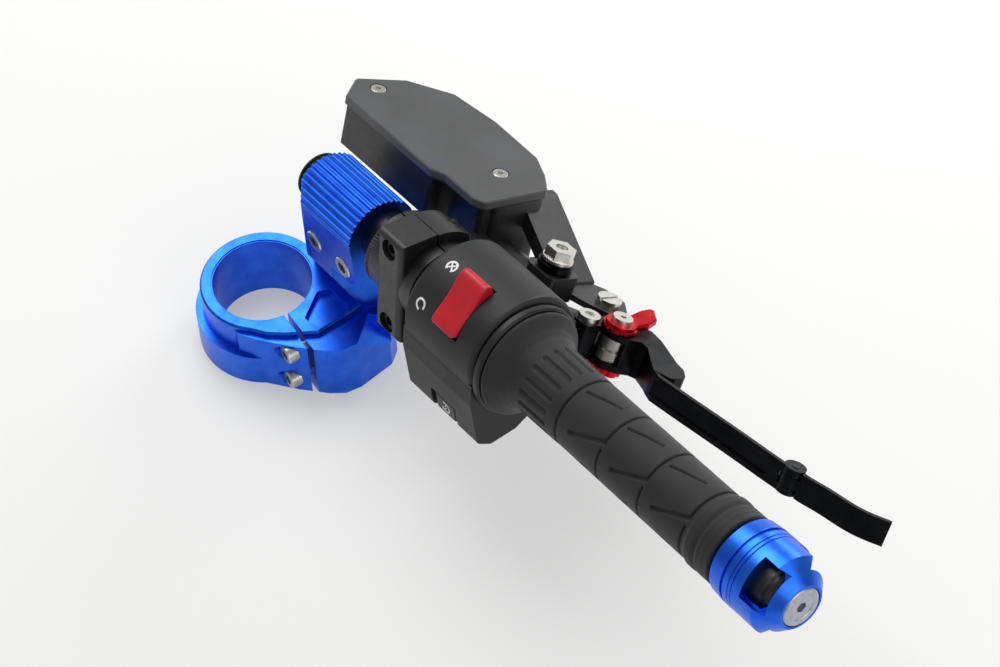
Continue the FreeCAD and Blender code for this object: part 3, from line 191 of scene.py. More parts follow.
def mouldedPlastic(name, colour, worn, grainMm, grainDepth, roughness):
    # injection-moulded plastic from a spark-eroded tool: an even fine grain that scatters the light
    skin = plasticSkin
    material, tree, shader = startMaterial(name, IOR=1.5)
    shader.inputs["Specular IOR Level"].default_value = skin["specular"]
    point = objectPoint(tree)
    clouds = noiseAt(tree, point, skin["clouds"])
    paintClouds(tree, shader, clouds, colour, worn)
    grain = addNode(tree, "ShaderNodeTexVoronoi", {"feature": "SMOOTH_F1"},
                    {"Vector": point, "Scale": 1.0 / (grainMm * mm)}).outputs["Distance"]
    roughenBy(tree, shader, clouds, roughness - skin["smoother"], roughness + skin["rougher"])
    raiseBy(tree, shader, grain, grainDepth, skin["edge"])
    return material


castingSkin = {
    "clouds": 10.0, "shine": 3.0, "peel": 1.6, "peelDepth": 0.02, "edge": 0.35, "roughness": (0.37, 0.48),
    "coat": 0.12, "coatRoughness": 0.3}


def paintedCasting(name, colour, worn):
    # die-cast aluminium under baked black enamel: a soft orange-peel skin
    skin = castingSkin
    material, tree, shader = startMaterial(name, IOR=1.5)
    shader.inputs["Coat Weight"].default_value = skin["coat"]
    shader.inputs["Coat Roughness"].default_value = skin["coatRoughness"]
    point = objectPoint(tree)
    paintClouds(tree, shader, noiseAt(tree, point, skin["clouds"]), colour, worn)
    roughenBy(tree, shader, noiseAt(tree, point, skin["shine"]), *skin["roughness"])
    raiseBy(tree, shader, noiseAt(tree, point, skin["peel"], detail=3.0), skin["peelDepth"], skin["edge"])
    return material


lidSkin = {
    "clouds": 18.0, "sand": 0.5, "sandDepth": 0.02, "sandRoughness": 0.6, "edge": 0.4, "roughness": (0.42, 0.54),
    "sheen": 0.12, "sheenRoughness": 0.5}


def powderEnamel(name, colour, worn):
    # powder-coated lid: a fine sandy grey-black skin that goes pale at a low angle
    skin = lidSkin
    material, tree, shader = startMaterial(name, IOR=1.52)
    shader.inputs["Sheen Weight"].default_value = skin["sheen"]
    shader.inputs["Sheen Roughness"].default_value = skin["sheenRoughness"]
    point = objectPoint(tree)
    paintClouds(tree, shader, noiseAt(tree, point, skin["clouds"]), colour, worn)
    sand = noiseAt(tree, point, skin["sand"], detail=4.0, roughness=skin["sandRoughness"])
    roughenBy(tree, shader, sand, *skin["roughness"])
    raiseBy(tree, shader, sand, skin["sandDepth"], skin["edge"])
    return material


rubberSkin = {
    "clouds": 8.0, "grain": 0.4, "grainDepth": 0.03, "roughness": (0.6, 0.74),
    "sheen": 0.12, "sheenRoughness": 0.45, "specular": 0.35}


def gripRubberMaterial(name, colour, dusty):
    # moulded natural rubber: matt, slightly dusty, with a faint fine grain
    skin = rubberSkin
    material, tree, shader = startMaterial(name, IOR=1.48)
    shader.inputs["Sheen Weight"].default_value = skin["sheen"]
    shader.inputs["Sheen Roughness"].default_value = skin["sheenRoughness"]
    shader.inputs["Specular IOR Level"].default_value = skin["specular"]
    point = objectPoint(tree)
    clouds = noiseAt(tree, point, skin["clouds"], detail=3.0)
    paintClouds(tree, shader, clouds, colour, dusty)
    roughenBy(tree, shader, clouds, *skin["roughness"])
    raiseBy(tree, shader, noiseAt(tree, point, skin["grain"], detail=4.0), skin["grainDepth"])
    return material


def switchInk(name, colour, thin):
    # pad-printed white ink: flat, slightly uneven cover
    material, tree, shader = startMaterial(name, Roughness=0.6)
    paintClouds(tree, shader, noiseAt(tree, objectPoint(tree), 0.6), colour, thin)
    return material


blueTurned = anodisedAluminium("blueAnodisedTurned", anodised["light"], anodised["deep"], True)
blueMilled = anodisedAluminium("blueAnodisedMilled", anodised["light"], anodised["deep"], False)
redAnodised = anodisedAluminium("redAnodisedAluminium", "#d8202c", "#b3111d", False)
blackMilled = anodisedAluminium("blackAnodisedAluminium", "#202124", "#17181b", False)
blackTube = anodisedAluminium("blackAnodisedTube", "#3a3a3e", "#2c2c30", True)
brightTurned = anodisedAluminium("brightTurnedAluminium", "#b9b6ae", "#9c998f", True)
plated = socketScrewSteel("zincPlatedSteel", "#d0d0cd", "#b2b2af", 0.28)
blackOxide = socketScrewSteel("blackOxideSteel", "#3a3b3d", "#26272a", 0.36)
stainless = socketScrewSteel("stainlessSteel", "#e2e0da", "#cfcdc6", 0.28)
endSteel = socketScrewSteel("greyZincSteel", "#b4b5c0", "#a3a5b0", 0.36)
darkSteel = socketScrewSteel("phosphatedSteel", "#4a4947", "#3a3937", 0.42)
housingPlastic = mouldedPlastic("glassFilledNylon", "#1b1c1d", "#222324", 0.55, 0.02, 0.5)
sleevePlastic = mouldedPlastic("acetalBlack", "#151617", "#1b1c1d", 0.4, 0.01, 0.42)
redPlastic = mouldedPlastic("redAbs", "#c01c29", "#b21522", 0.45, 0.008, 0.36)
buttonPlastic = mouldedPlastic("blackAbs", "#161718", "#1c1d1e", 0.4, 0.01, 0.42)
casting = paintedCasting("blackEnamelledCasting", "#131314", "#1a1a1b")
capEnamel = powderEnamel("greyBlackPowderCoat", "#3a3b3c", "#434446")
gripRubber = gripRubberMaterial("blackGripRubber", "#1e1e1f", "#262627")
plainRubber = gripRubberMaterial("blackRubber", "#151515", "#1c1c1c")
whiteInk = switchInk("whitePadPrint", "#f2f3f3", "#c9cbcc")

finishes = {
    "fork_clamp": blueMilled,
    "bar_end_sleeve": blueTurned,
    "bar_tube": blackTube,
    "tube_plug": plainRubber,
    "fork_pinch_bolts": plated,
    "bar_clamp_bolts": plated,
    "bar_end_weight": darkSteel,
    "bar_end_screw": endSteel,
    "bar_end_expander": plainRubber,
    "bar_end_nut": plated,
    "switch_housing_upper": housingPlastic,
    "switch_housing_lower": housingPlastic,
    "housing_screws": blackOxide,
    "master_cylinder_body": casting,
    "master_clamp": casting,
    "master_clamp_bolts": blackOxide,
    "reservoir_cap": capEnamel,
    "cap_screws": stainless,
    "reservoir_diaphragm": plainRubber,
    "banjo_bolt": stainless,
    "banjo_washers": blackMilled,
    "pivot_bolt": stainless,
    "pivot_nut": plated,
    "throttle_sleeve": sleevePlastic,
    "grip": gripRubber,
    "kill_switch_rocker": redPlastic,
    "start_button": buttonPlastic,
    "lever_carrier": blackMilled,
    "lever_blade": blackMilled,
    "hinge_screw": stainless,
    "tip_pin": blackOxide,
    "lever_tip": blackMilled,
    "adjuster_barrel": brightTurned,
    "adjuster_wheel": redAnodised,
    "adjuster_screw": stainless,
    "adjuster_cap": redAnodised,
    "piston": brightTurned,
    "push_rod": stainless,
}
for nodeName, finish in finishes.items():
    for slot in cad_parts[nodeName].material_slots:
        slot.material = finish
print("finishes on the solids:", len(finishes))


# Mesh helpers

def newPiece(name, points, faces, material, smooth=True):
    mesh = bpy.data.meshes.new(name)
    mesh.from_pydata(points, [], faces)
    mesh.materials.append(material)
    if smooth:
        mesh.polygons.foreach_set("use_smooth", [True] * len(mesh.polygons))
    mesh.update()
    piece = bpy.data.objects.new(name, mesh)
    bpy.context.scene.collection.objects.link(piece)
    return piece


# Grip: one moulded sleeve with ribs at its inner end and three rows of long scales

gripShape = {
    "end": 266.4,
    "bore": 13.0,
    "runs": ((134.4, 80), (171.5, 300), (250.5, 40)),    # where each run of rings starts, and its count
    "around": 230,
    "twist": -1.3,        # degrees a millimetre that the mesh turns along the scales, to follow their slots
    "outline": ((134.4, 22.6), (135.2, 23.5), (136.4, 23.4), (138.0, 21.4), (140.0, 19.2), (143.0, 17.3),
                (147.0, 16.2), (150.0, 15.9), (168.0, 15.7), (173.0, 15.5), (251.0, 15.6), (252.6, 16.3),
                (255.6, 16.3), (256.6, 15.9), (257.6, 15.5), (258.6, 16.1), (265.6, 16.1), (266.4, 15.4)),
    "wall": 0.45,         # how far the side of a groove leans over its depth
    "ribSpan": (149.6, 166.4),
    "ribCount": 18,
    "ribTurn": -15.0,
    "ribWidth": 2.0,
    "ribDepth": 0.9,
    "firstRing": 172.5,
    "scaleEnds": (198.2, 223.7, 249.2),
    "scalesRound": 3,
    "arc": (-70.0, 37.5),
    "longSlot": ((-17.5, 63.0), (0.0, 37.5)),
    "longWidth": 1.9,
    "shortSlot": ((-22.5, 0.0), (-7.5, -17.5)),
    "slotWidth": 1.0,
    "slotDepth": 1.1,
    "meanRadius": 15.5,
    "bandLines": (260.4, 263.2),
    "bandDepth": 0.18,
}


def grooveDepth(distance, width, depth):
    # how far a flat-bottomed groove sinks at this distance from its centre line
    share = np.clip((width / 2 - distance) / gripShape["wall"] + 0.5, 0.0, 1.0)
    return depth * share * share * (3.0 - 2.0 * share)


def gapToLine(along, around, start, end):
    # distance on the unrolled surface from each point to a straight slot
    run = np.array(end) - np.array(start)
    share = ((along - start[0]) * run[0] + (around - start[1]) * run[1]) / (run @ run)
    share = np.clip(share, 0.0, 1.0)
    return np.hypot(along - start[0] - share * run[0], around - start[1] - share * run[1])


def turnFrom(degrees, middle):
    # angle from a middle line, -180 to 180
    return (degrees - middle + 180.0) % 360.0 - 180.0


def scaleDepth(along, degrees, scaleEnd, middle):
    # one long scale: the arc at its outer end and the two slots on its back
    shape = gripShape
    perDegree = math.radians(shape["meanRadius"])
    offset = turnFrom(degrees, middle)
    pastArc = np.maximum(np.maximum(shape["arc"][0] - offset, offset - shape["arc"][1]), 0.0)
    sink = grooveDepth(np.hypot(along - scaleEnd, pastArc * perDegree), shape["slotWidth"], shape["slotDepth"])
    for slot, width in (("longSlot", shape["longWidth"]), ("shortSlot", shape["slotWidth"])):
        ends = [(scaleEnd + s, a * perDegree) for s, a in shape[slot]]
        gap = gapToLine(along, offset * perDegree, *ends)
        sink = np.maximum(sink, grooveDepth(gap, width, shape["slotDepth"]))
    return sink


def gripRadius(along, degrees):
    shape = gripShape
    outline = np.array(shape["outline"])
    radius = np.interp(along, outline[:, 0], outline[:, 1])
    perDegree = math.radians(shape["meanRadius"])
    sink = grooveDepth(abs(along - shape["firstRing"]), shape["slotWidth"], shape["slotDepth"])
    for line in shape["bandLines"]:
        sink = np.maximum(sink, grooveDepth(abs(along - line), shape["wall"], shape["bandDepth"]))
    ribEnds = [(end + inward * shape["ribWidth"] / 2, 0.0) for end, inward in zip(shape["ribSpan"], (1, -1))]
    for k in range(shape["ribCount"]):
        offset = turnFrom(degrees, shape["ribTurn"] + 360.0 / shape["ribCount"] * k)
        gap = gapToLine(along, offset * perDegree, *ribEnds)
        sink = np.maximum(sink, grooveDepth(gap, shape["ribWidth"], shape["ribDepth"]))
    for scaleEnd in shape["scaleEnds"]:
        for k in range(shape["scalesRound"]):
            middle = 360.0 / shape["scalesRound"] * k
            sink = np.maximum(sink, scaleDepth(along, degrees, scaleEnd, middle))
    return radius - sink


def makeGrip():
    shape = gripShape
    around = shape["around"]
    starts = [start for start, count in shape["runs"]] + [shape["end"]]
    runs = [np.linspace(start, after, count, endpoint=False)
            for (start, count), after in zip(shape["runs"], starts[1:])]
    stations = np.concatenate(runs + [[shape["end"]]])
    rings = len(stations)
    along, degrees = np.meshgrid(stations, np.arange(around) * 360.0 / around, indexing="ij")
    degrees = degrees + shape["twist"] * (np.clip(along, starts[1], starts[2]) - starts[1])
    radius = np.vstack([gripRadius(along, degrees), np.full((2, around), shape["bore"])])
    along = np.vstack([along, np.full((1, around), shape["end"]), np.full((1, around), starts[0])])
    angle = np.radians(np.vstack([degrees, degrees[-1:], degrees[:1]]))
    points = np.stack([along, -radius * np.sin(angle), radius * np.cos(angle)], axis=-1).reshape(-1, 3)
    place = np.array(barFrame)
    points = points @ place[:3, :3].T + place[:3, 3]
    rows = rings + 2         # the last two rings are the bore
    faces = []
    for i in range(rows):
        here, after = i * around, ((i + 1) % rows) * around
        for j in range(around):
            k = (j + 1) % around
            faces.append((here + j, here + k, after + k, after + j))
    return newPiece("grip_rubber_sleeve", points.tolist(), faces, gripRubber)


gripPiece = makeGrip()
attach(gripPiece, "throttle")
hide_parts("grip")
print("grip moulded:", len(gripPiece.data.polygons), "faces")


# The switch housing's round: how far its axis is ahead of the tube's, and its radius
housingRound = {"ahead": 1.5, "radius": 26.0}


def onRound(radius, degrees):
    # y and z in the tube's frame of a place so far from the round's axis, so many degrees behind the top
    a = math.radians(degrees)
    return housingRound["ahead"] - radius * math.sin(a), radius * math.cos(a)


# Rocker of the stop switch: one smooth moulded cap, high at its front end and hollow behind it

rockerShape = {
    "middle": 109.5,         # along the tube
    "halfWidth": 7.65,
    "span": (2.5, 57.5),     # degrees behind the top
    "unroll": 26.8,          # radius at which angles are turned to lengths
    "root": 20.0,
    "pivot": (24.0, 30.0),   # its radius, and degrees behind the top
    "tilt": 4.0,
    "crown": ((2.5, 29.0), (6.0, 30.1), (10.0, 30.0), (15.0, 29.0), (21.0, 27.8), (28.0, 26.9), (35.0, 26.7),
              (42.0, 27.0), (48.0, 27.6), (53.0, 28.2), (57.5, 28.4)),
    "edge": 1.1,
    "corners": (2.2, 0.8, 3.0, 1.6),    # front inboard, front outboard, rear outboard, rear inboard
    "crownDegree": 6,        # of the curve fitted through the crown's points
    "rings": 30,
    "aroundCorner": 14,
    "alongSide": 22,
}


def roundedOutline(halfU, halfV, radii, cornerSteps, sideSteps):
    # closed outline of a rectangle with four corner radii, counter-clockwise from the first corner
    corners = ((-1, -1, 180), (1, -1, 270), (1, 1, 0), (-1, 1, 90))
    points = []
    for k, (signU, signV, start) in enumerate(corners):
        radius = radii[k]
        centre = (signU * (halfU - radius), signV * (halfV - radius))
        for i in range(cornerSteps + 1):
            a = math.radians(start + 90.0 * i / cornerSteps)
            points.append((centre[0] + radius * math.cos(a), centre[1] + radius * math.sin(a)))
        after = (k + 1) % 4
        nextU, nextV, nextStart = corners[after]
        a = math.radians(nextStart)
        target = (nextU * (halfU - radii[after]) + radii[after] * math.cos(a),
                  nextV * (halfV - radii[after]) + radii[after] * math.sin(a))
        last = points[-1]
        for i in range(1, sideSteps):
            share = i / sideSteps
            points.append((last[0] + share * (target[0] - last[0]), last[1] + share * (target[1] - last[1])))
    return np.array(points)


def makeRocker():
    shape = rockerShape
    middleTurn = sum(shape["span"]) / 2
    halfV = math.radians(shape["span"][1] - shape["span"][0]) / 2 * shape["unroll"]
    outline = roundedOutline(shape["halfWidth"], halfV, shape["corners"], shape["aroundCorner"], shape["alongSide"])
    count = len(outline)
    crown = np.array(shape["crown"])
    smooth = np.polyfit(crown[:, 0], crown[:, 1], shape["crownDegree"])
    levels = []
    for k in range(shape["rings"] + 1):
        share = math.sin(math.pi / 2 * (k + 0.5) / (shape["rings"] + 0.5))
        flat = outline * share
        gaps = flat[:, None, :] - outline[None, :, :]
        toEdge = np.min(np.hypot(gaps[..., 0], gaps[..., 1]), axis=1)
        inside = np.clip(shape["edge"] - toEdge, 0.0, shape["edge"])
        turns = middleTurn + np.degrees(flat[:, 1] / shape["unroll"])
        drop = shape["edge"] - np.sqrt(shape["edge"] ** 2 - inside ** 2)
        levels.append((flat, turns, np.polyval(smooth, turns) - drop))
    flat, turns, low = levels[-1]
    levels.append((flat, turns, np.full(count, shape["root"])))
    pivotY, pivotZ = onRound(*shape["pivot"])
    place = barFrame @ Matrix.Translation((0, pivotY, pivotZ)) @ turn("X", shape["tilt"])
    points = []
    for flat, turns, radii in levels:
        for (u, v), angle, radius in zip(flat, turns, radii):
            y, z = onRound(radius, angle)
            points.append(tuple(place @ Vector((shape["middle"] + u, y - pivotY, z - pivotZ))))
    faces = []
    for k in range(len(levels) - 1):
        for i in range(count):
            j = (i + 1) % count
            faces.append((k * count + i, k * count + j, (k + 1) * count + j, (k + 1) * count + i))
    faces.append(tuple(reversed(range(count))))
    faces.append(tuple(range((len(levels) - 1) * count, len(levels) * count)))
    return newPiece("stop_rocker_cap", points, faces, redPlastic)


rockerPiece = makeRocker()
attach(rockerPiece, "kill_switch")
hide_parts("kill_switch_rocker")
print("rocker moulded:", len(rockerPiece.data.polygons), "faces")


# Lever blade: the solid's copy, its root cut back so that the adjuster stands free in front of it

bladeRoot = {
    "cutBack": ((160.0, 30.0), (160.0, 47.4), (155.0, 49.2), (148.5, 52.6), (142.0, 56.0), (138.6, 55.2),
                (136.6, 50.0), (133.5, 46.4), (128.5, 44.9), (125.2, 45.4), (124.5, 30.0)),
    "cutHeight": 9.5,
    "softAngle": 20.0,        # degrees under which two facets are one smooth face
}
weld = {"gap": 0.01 * mm, "flatAngle": math.radians(0.4)}


def leverPrism(name, outline, halfHeight):
    # a block that stands on an outline in the lever's plane, as high above it as below
    count = len(outline)
    points = [tuple(leverFrame @ Vector((x, y, z))) for z in (-halfHeight, halfHeight) for x, y in outline]
    faces = [tuple(reversed(range(count))), tuple(range(count, 2 * count))]
    faces += [(i, (i + 1) % count, count + (i + 1) % count, count + i) for i in range(count)]
    return newPiece(name, points, faces, blackMilled, smooth=False)


def weldedCopy(nodeName, name, material):
    # a copy of a solid with its loose triangles joined
    mesh = bpy.data.meshes.new(name)
    joined = bmesh.new()
    joined.from_mesh(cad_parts[nodeName].data)
    bmesh.ops.remove_doubles(joined, verts=joined.verts, dist=weld["gap"])
    bmesh.ops.dissolve_degenerate(joined, edges=joined.edges, dist=weld["gap"])
    bmesh.ops.dissolve_limit(joined, angle_limit=weld["flatAngle"], verts=joined.verts, edges=joined.edges)
    joined.to_mesh(mesh)
    joined.free()
    mesh.materials.clear()
    mesh.materials.append(material)
    piece = bpy.data.objects.new(name, mesh)
    bpy.context.scene.collection.objects.link(piece)
    return piece


def applyModifier(piece, modifier):
    mesh = bpy.data.meshes.new_from_object(piece.evaluated_get(bpy.context.evaluated_depsgraph_get()))
    piece.modifiers.remove(modifier)
    piece.data = mesh


def cutAway(piece, cutter):
    change = piece.modifiers.new("cut", "BOOLEAN")
    change.operation = "DIFFERENCE"
    change.solver = "EXACT"
    change.object = cutter
    applyModifier(piece, change)
    bpy.data.objects.remove(cutter)


def smoothByAngle(piece, degrees):
    # smooth within each face of the real part, sharp between them
    piece.data.polygons.foreach_set("use_smooth", [True] * len(piece.data.polygons))
    piece.data.set_sharp_from_angle(angle=math.radians(degrees))
    change = piece.modifiers.new("flats", "WEIGHTED_NORMAL")
    change.keep_sharp = True
    applyModifier(piece, change)


bladePiece = weldedCopy("lever_blade", "lever_blade_cut", blackMilled)
cutAway(bladePiece, leverPrism("bladeCutter", bladeRoot["cutBack"], bladeRoot["cutHeight"]))
smoothByAngle(bladePiece, bladeRoot["softAngle"])
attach(bladePiece, "lever_blade")
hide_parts("lever_blade")
print("blade root cut back:", len(bladePiece.data.polygons), "faces")


# Screw of the reach adjuster: the solid's copy with its head drawn out to its full width

adjusterHead = {"centre": (127.7, 52.0), "plainRim": 3.4, "fullRim": 4.3, "rimSlack": 0.3, "softAngle": 30.0}


def widenHead(piece):
    # moves the head's rim out from the adjuster's axis; socket and shank stay
    head = adjusterHead
    growth = head["fullRim"] / head["plainRim"]
    toLever = leverFrame.inverted()
    for vertex in piece.data.vertices:
        spot = toLever @ vertex.co
        out = Vector((spot.x - head["centre"][0], spot.y - head["centre"][1], 0.0))
        if out.length > head["plainRim"] - head["rimSlack"]:
            vertex.co = leverFrame @ (spot + (growth - 1.0) * out)


screwPiece = weldedCopy("adjuster_screw", "adjuster_screw_full", stainless)
widenHead(screwPiece)
smoothByAngle(screwPiece, adjusterHead["softAngle"])
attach(screwPiece, "adjuster")
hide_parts("adjuster_screw")
print("adjuster screw widened:", len(screwPiece.data.polygons), "faces")


# Printed symbols: thin strips of ink laid on a surface

def ribbon(path, width, onSurface, thickness=0.06):
    # points and faces of a flat stroke of ink, path in the surface's own two directions
    points, faces = [], []
    last = len(path) - 1
    for i, (u, v) in enumerate(path):
        before, after = path[max(i - 1, 0)], path[min(i + 1, last)]
        run = Vector((after[0] - before[0], after[1] - before[1])).normalized()
        side = Vector((-run.y, run.x)) * width / 2
        for sign, lift in ((1, thickness), (-1, thickness), (-1, -thickness), (1, -thickness)):
            points.append(onSurface(u + sign * side.x, v + sign * side.y, lift))
    for i in range(last):
        for k in range(4):
            m = (k + 1) % 4
            faces.append((4 * i + k, 4 * i + m, 4 * i + 4 + m, 4 * i + 4 + k))
    faces += [(3, 2, 1, 0), tuple(range(4 * last, 4 * last + 4))]
    return points, faces


def arcPath(radius, start, end, steps=28):
    angles = [math.radians(start + (end - start) * k / steps) for k in range(steps + 1)]
    return [(radius * math.cos(a), radius * math.sin(a)) for a in angles]


def crossPath(arm, side, steps=10):
    # one stroke of a cross, in short steps so that it follows a round surface
    shares = [2.0 * k / steps - 1.0 for k in range(steps + 1)]
    return [(arm * share, side * arm * share) for share in shares]


def inkPiece(name, strokes, onSurface, body):
    points, faces = [], []
    for path, width in strokes:
        strokePoints, strokeFaces = ribbon(path, width, onSurface)
        base = len(points)
        points += strokePoints
        faces += [tuple(base + i for i in face) for face in strokeFaces]
    piece = newPiece(name, [tuple(point) for point in points], faces, whiteInk, smooth=False)
    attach(piece, body)


switchMarks = {
    "stopAt": (93.6, 10.5),      # along the tube, degrees behind the top
    "runAt": (92.6, 54.5),
    "size": 2.3,
    "line": 0.95,
    "runArc": (30, -270),
    "stopArc": (60, -240),
    "crossArm": 1.9,
    "crossLine": 0.7,
    "buttonAt": (108.5, -28.0),
    "buttonFace": -25.9,
    "buttonSize": 2.5,
    "buttonLine": 0.75,
    "buttonArc": (120, -150),
    "arrowPointing": 120,
    "arrowSize": 1.2,
    "arrowSpread": (150, -150),
    "bolt": ((0.5, 1.4), (-0.5, 0.1), (0.5, -0.1), (-0.5, -1.4)),
    "boltLine": 0.6,
}


def onHousing(at):
    # u along the tube, v round the housing towards the rear
    def place(u, v, lift):
        y, z = onRound(housingRound["radius"] + lift, at[1] + math.degrees(v / housingRound["radius"]))
        return barFrame @ Vector((at[0] + u, y, z))
    return place


def onButton(u, v, lift):
    marks = switchMarks
    return barFrame @ Vector((marks["buttonAt"][0] + u, marks["buttonFace"] - lift, marks["buttonAt"][1] + v))


def stopStrokes(marks):
    # a ring with a gap, crossed out
    ring = [(arcPath(marks["size"], *marks["stopArc"]), marks["line"])]
    return ring + [(crossPath(marks["crossArm"], side), marks["crossLine"]) for side in (1, -1)]


def startStrokes(marks):
    # an arc that ends in an arrow, round a bolt of lightning
    arc = arcPath(marks["buttonSize"], *marks["buttonArc"])
    strokes = [(arc, marks["buttonLine"])]
    for spreadAngle in marks["arrowSpread"]:
        a = math.radians(marks["arrowPointing"] + spreadAngle)
        barb = (arc[-1][0] + marks["arrowSize"] * math.cos(a), arc[-1][1] + marks["arrowSize"] * math.sin(a))
        strokes.append(([arc[-1], barb], marks["buttonLine"]))
    return strokes + [(marks["bolt"], marks["boltLine"])]


runStrokes = [(arcPath(switchMarks["size"], *switchMarks["runArc"]), switchMarks["line"])]
inkPiece("stop_mark", stopStrokes(switchMarks), onHousing(switchMarks["stopAt"]), "handlebar")
inkPiece("run_mark", runStrokes, onHousing(switchMarks["runAt"]), "handlebar")
inkPiece("start_mark", startStrokes(switchMarks), onButton, "start_button")
print("switch symbols printed")


# Knurled sides of the socket screws, as geometry nodes: upright ridges set round each head

knurl = {
    "ridges": 32,
    "width": 0.42,
    "rise": 0.24,
    "start": 0.3,          # above the seat
    "shorterBy": 1.1,      # than the head, for its start and its chamfer
}


def knurlTree(material):
    # returns the tree and the identifiers of its two inputs
    tree = bpy.data.node_groups.new("knurledHead", "GeometryNodeTree")
    tree.interface.new_socket(name="Geometry", in_out="OUTPUT", socket_type="NodeSocketGeometry")
    sockets = {}
    for name in ("Head radius", "Height"):
        socket = tree.interface.new_socket(name=name, in_out="INPUT", socket_type="NodeSocketFloat")
        sockets[name] = socket.identifier
    given = addNode(tree, "NodeGroupInput").outputs
    circle = addNode(tree, "GeometryNodeMeshCircle", inputs={
        "Vertices": knurl["ridges"], "Radius": given["Head radius"]})
    size = addNode(tree, "ShaderNodeCombineXYZ", inputs={
        "X": knurl["rise"] * mm, "Y": knurl["width"] * mm, "Z": given["Height"]})
    ridge = addNode(tree, "GeometryNodeMeshCube", inputs={"Size": size.outputs["Vector"]})
    middle = addNode(tree, "ShaderNodeMath", {"operation": "MULTIPLY_ADD"}, {
        0: given["Height"], 1: 0.5, 2: knurl["start"] * mm})
    lift = addNode(tree, "ShaderNodeCombineXYZ", inputs={"Z": middle.outputs[0]})
    raised = addNode(tree, "GeometryNodeTransform", inputs={
        "Geometry": ridge.outputs["Mesh"], "Translation": lift.outputs["Vector"]})
    position = addNode(tree, "GeometryNodeInputPosition")
    facing = addNode(tree, "FunctionNodeAlignRotationToVector", {"axis": "X"}, {
        "Vector": position.outputs["Position"]})
    around = addNode(tree, "GeometryNodeInstanceOnPoints", inputs={
        "Points": circle.outputs["Mesh"], "Instance": raised.outputs["Geometry"],
        "Rotation": facing.outputs["Rotation"]})
    plain = addNode(tree, "GeometryNodeRealizeInstances", inputs={"Geometry": around.outputs["Instances"]})
    finished = addNode(tree, "GeometryNodeSetMaterial", inputs={
        "Geometry": plain.outputs["Geometry"], "Material": material})
    addNode(tree, "NodeGroupOutput", inputs={"Geometry": finished.outputs["Geometry"]})
    return tree, sockets


def meshFromNodes(tree, sockets, values):
    # runs a node tree on an empty carrier and returns its plain mesh
    carrier = bpy.data.objects.new("carrier", bpy.data.meshes.new("carrier"))
    bpy.context.scene.collection.objects.link(carrier)
    modifier = carrier.modifiers.new("nodes", "NODES")
    modifier.node_group = tree
    for name, value in values.items():
        modifier[sockets[name]] = value
    evaluated = carrier.evaluated_get(bpy.context.evaluated_depsgraph_get())
    mesh = bpy.data.meshes.new_from_object(evaluated)
    carrier.modifiers.remove(modifier)
    bpy.data.objects.remove(carrier)
    return mesh


smallHead = {"radius": 4.25, "height": 5.0}
largeHead = {"radius": 5.0, "height": 6.0}
screwSeats = {
    "pinch_bolt_knurl": {
        "frame": toMetres @ turn("Z", -42.5), "seats": [(34.3, -4.8, -8.8), (34.3, -4.8, -26.0)],
        "head": smallHead, "material": plated},
    "bar_clamp_bolt_knurl": {
        "frame": barFrame, "seats": [(5.8, -11.9, -14.6), (26.7, -11.9, -14.6)],
        "head": largeHead, "material": plated},
    "master_clamp_bolt_knurl": {
        "frame": holdFrame, "seats": [(64.0, -11.4, -20.0), (64.0, -11.4, 17.0)],
        "head": smallHead, "material": blackOxide},
}


def knurlPiece(name, group):
    # the same ridges at every seat of the group; the heads point backward in its frame
    tree, sockets = knurlTree(group["material"])
    ridges = meshFromNodes(tree, sockets, {
        "Head radius": group["head"]["radius"] * mm, "Height": (group["head"]["height"] - knurl["shorterBy"]) * mm})
    backward = Vector((0, -1, 0)).to_track_quat("Z", "X").to_matrix().to_4x4()
    points, faces = [], []
    for seat in group["seats"]:
        stand = group["frame"] @ Matrix.Translation(seat) @ backward @ toMetres.inverted()
        base = len(points)
        points += [tuple(stand @ vertex.co) for vertex in ridges.vertices]
        faces += [tuple(base + i for i in polygon.vertices) for polygon in ridges.polygons]
    return newPiece(name, points, faces, group["material"], smooth=False)


for name, group in screwSeats.items():
    piece = knurlPiece(name, group)
    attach(piece, "handlebar")
print("screw heads knurled")


# Floor, light and camera

stageLook = {
    "floor": "#e9e9e7",
    "floorSize": 6.0,                   # metres
    "below": 0.3,                       # mm under the lowest point
    "glow": 0.35,                       # share of plain white that a seen floor gets
    "world": 0.42,
    "lampTarget": (0.1, -0.03, 0.03),
}


def rayKinds(tree, *kinds):
    # one for a ray of any of these kinds, else nought
    rays = addNode(tree, "ShaderNodeLightPath").outputs
    seen = rays[kinds[0]]
    for kind in kinds[1:]:
        seen = addNode(tree, "ShaderNodeMath", {"operation": "MAXIMUM"}, {0: seen, 1: rays[kind]}).outputs[0]
    return seen


def makeFloor():
    low = cadBox[0][2] - stageLook["below"] * mm
    half = stageLook["floorSize"] / 2
    corners = [(-half, -half, low), (half, -half, low), (half, half, low), (-half, half, low)]
    floor = newPiece("floor", corners, [(0, 1, 2, 3)], floorMaterial(), smooth=False)


def floorMaterial():
    # pale matt sweep, lifted towards white where the camera or a reflection sees it
    material, tree, shader = startMaterial("paleFloor", Roughness=0.9)
    shader.inputs["Base Color"].default_value = toLinear(stageLook["floor"])
    seen = rayKinds(tree, "Is Camera Ray", "Is Glossy Ray", "Is Transmission Ray")
    share = addNode(tree, "ShaderNodeMath", {"operation": "MULTIPLY"}, {0: seen, 1: stageLook["glow"]})
    glow = addNode(tree, "ShaderNodeEmission")
    mixed = addNode(tree, "ShaderNodeMixShader", inputs={
        0: share.outputs[0], 1: shader.outputs["BSDF"], 2: glow.outputs[0]})
    addNode(tree, "ShaderNodeOutputMaterial", {"is_active_output": True}, {"Surface": mixed.outputs[0]})
    return material


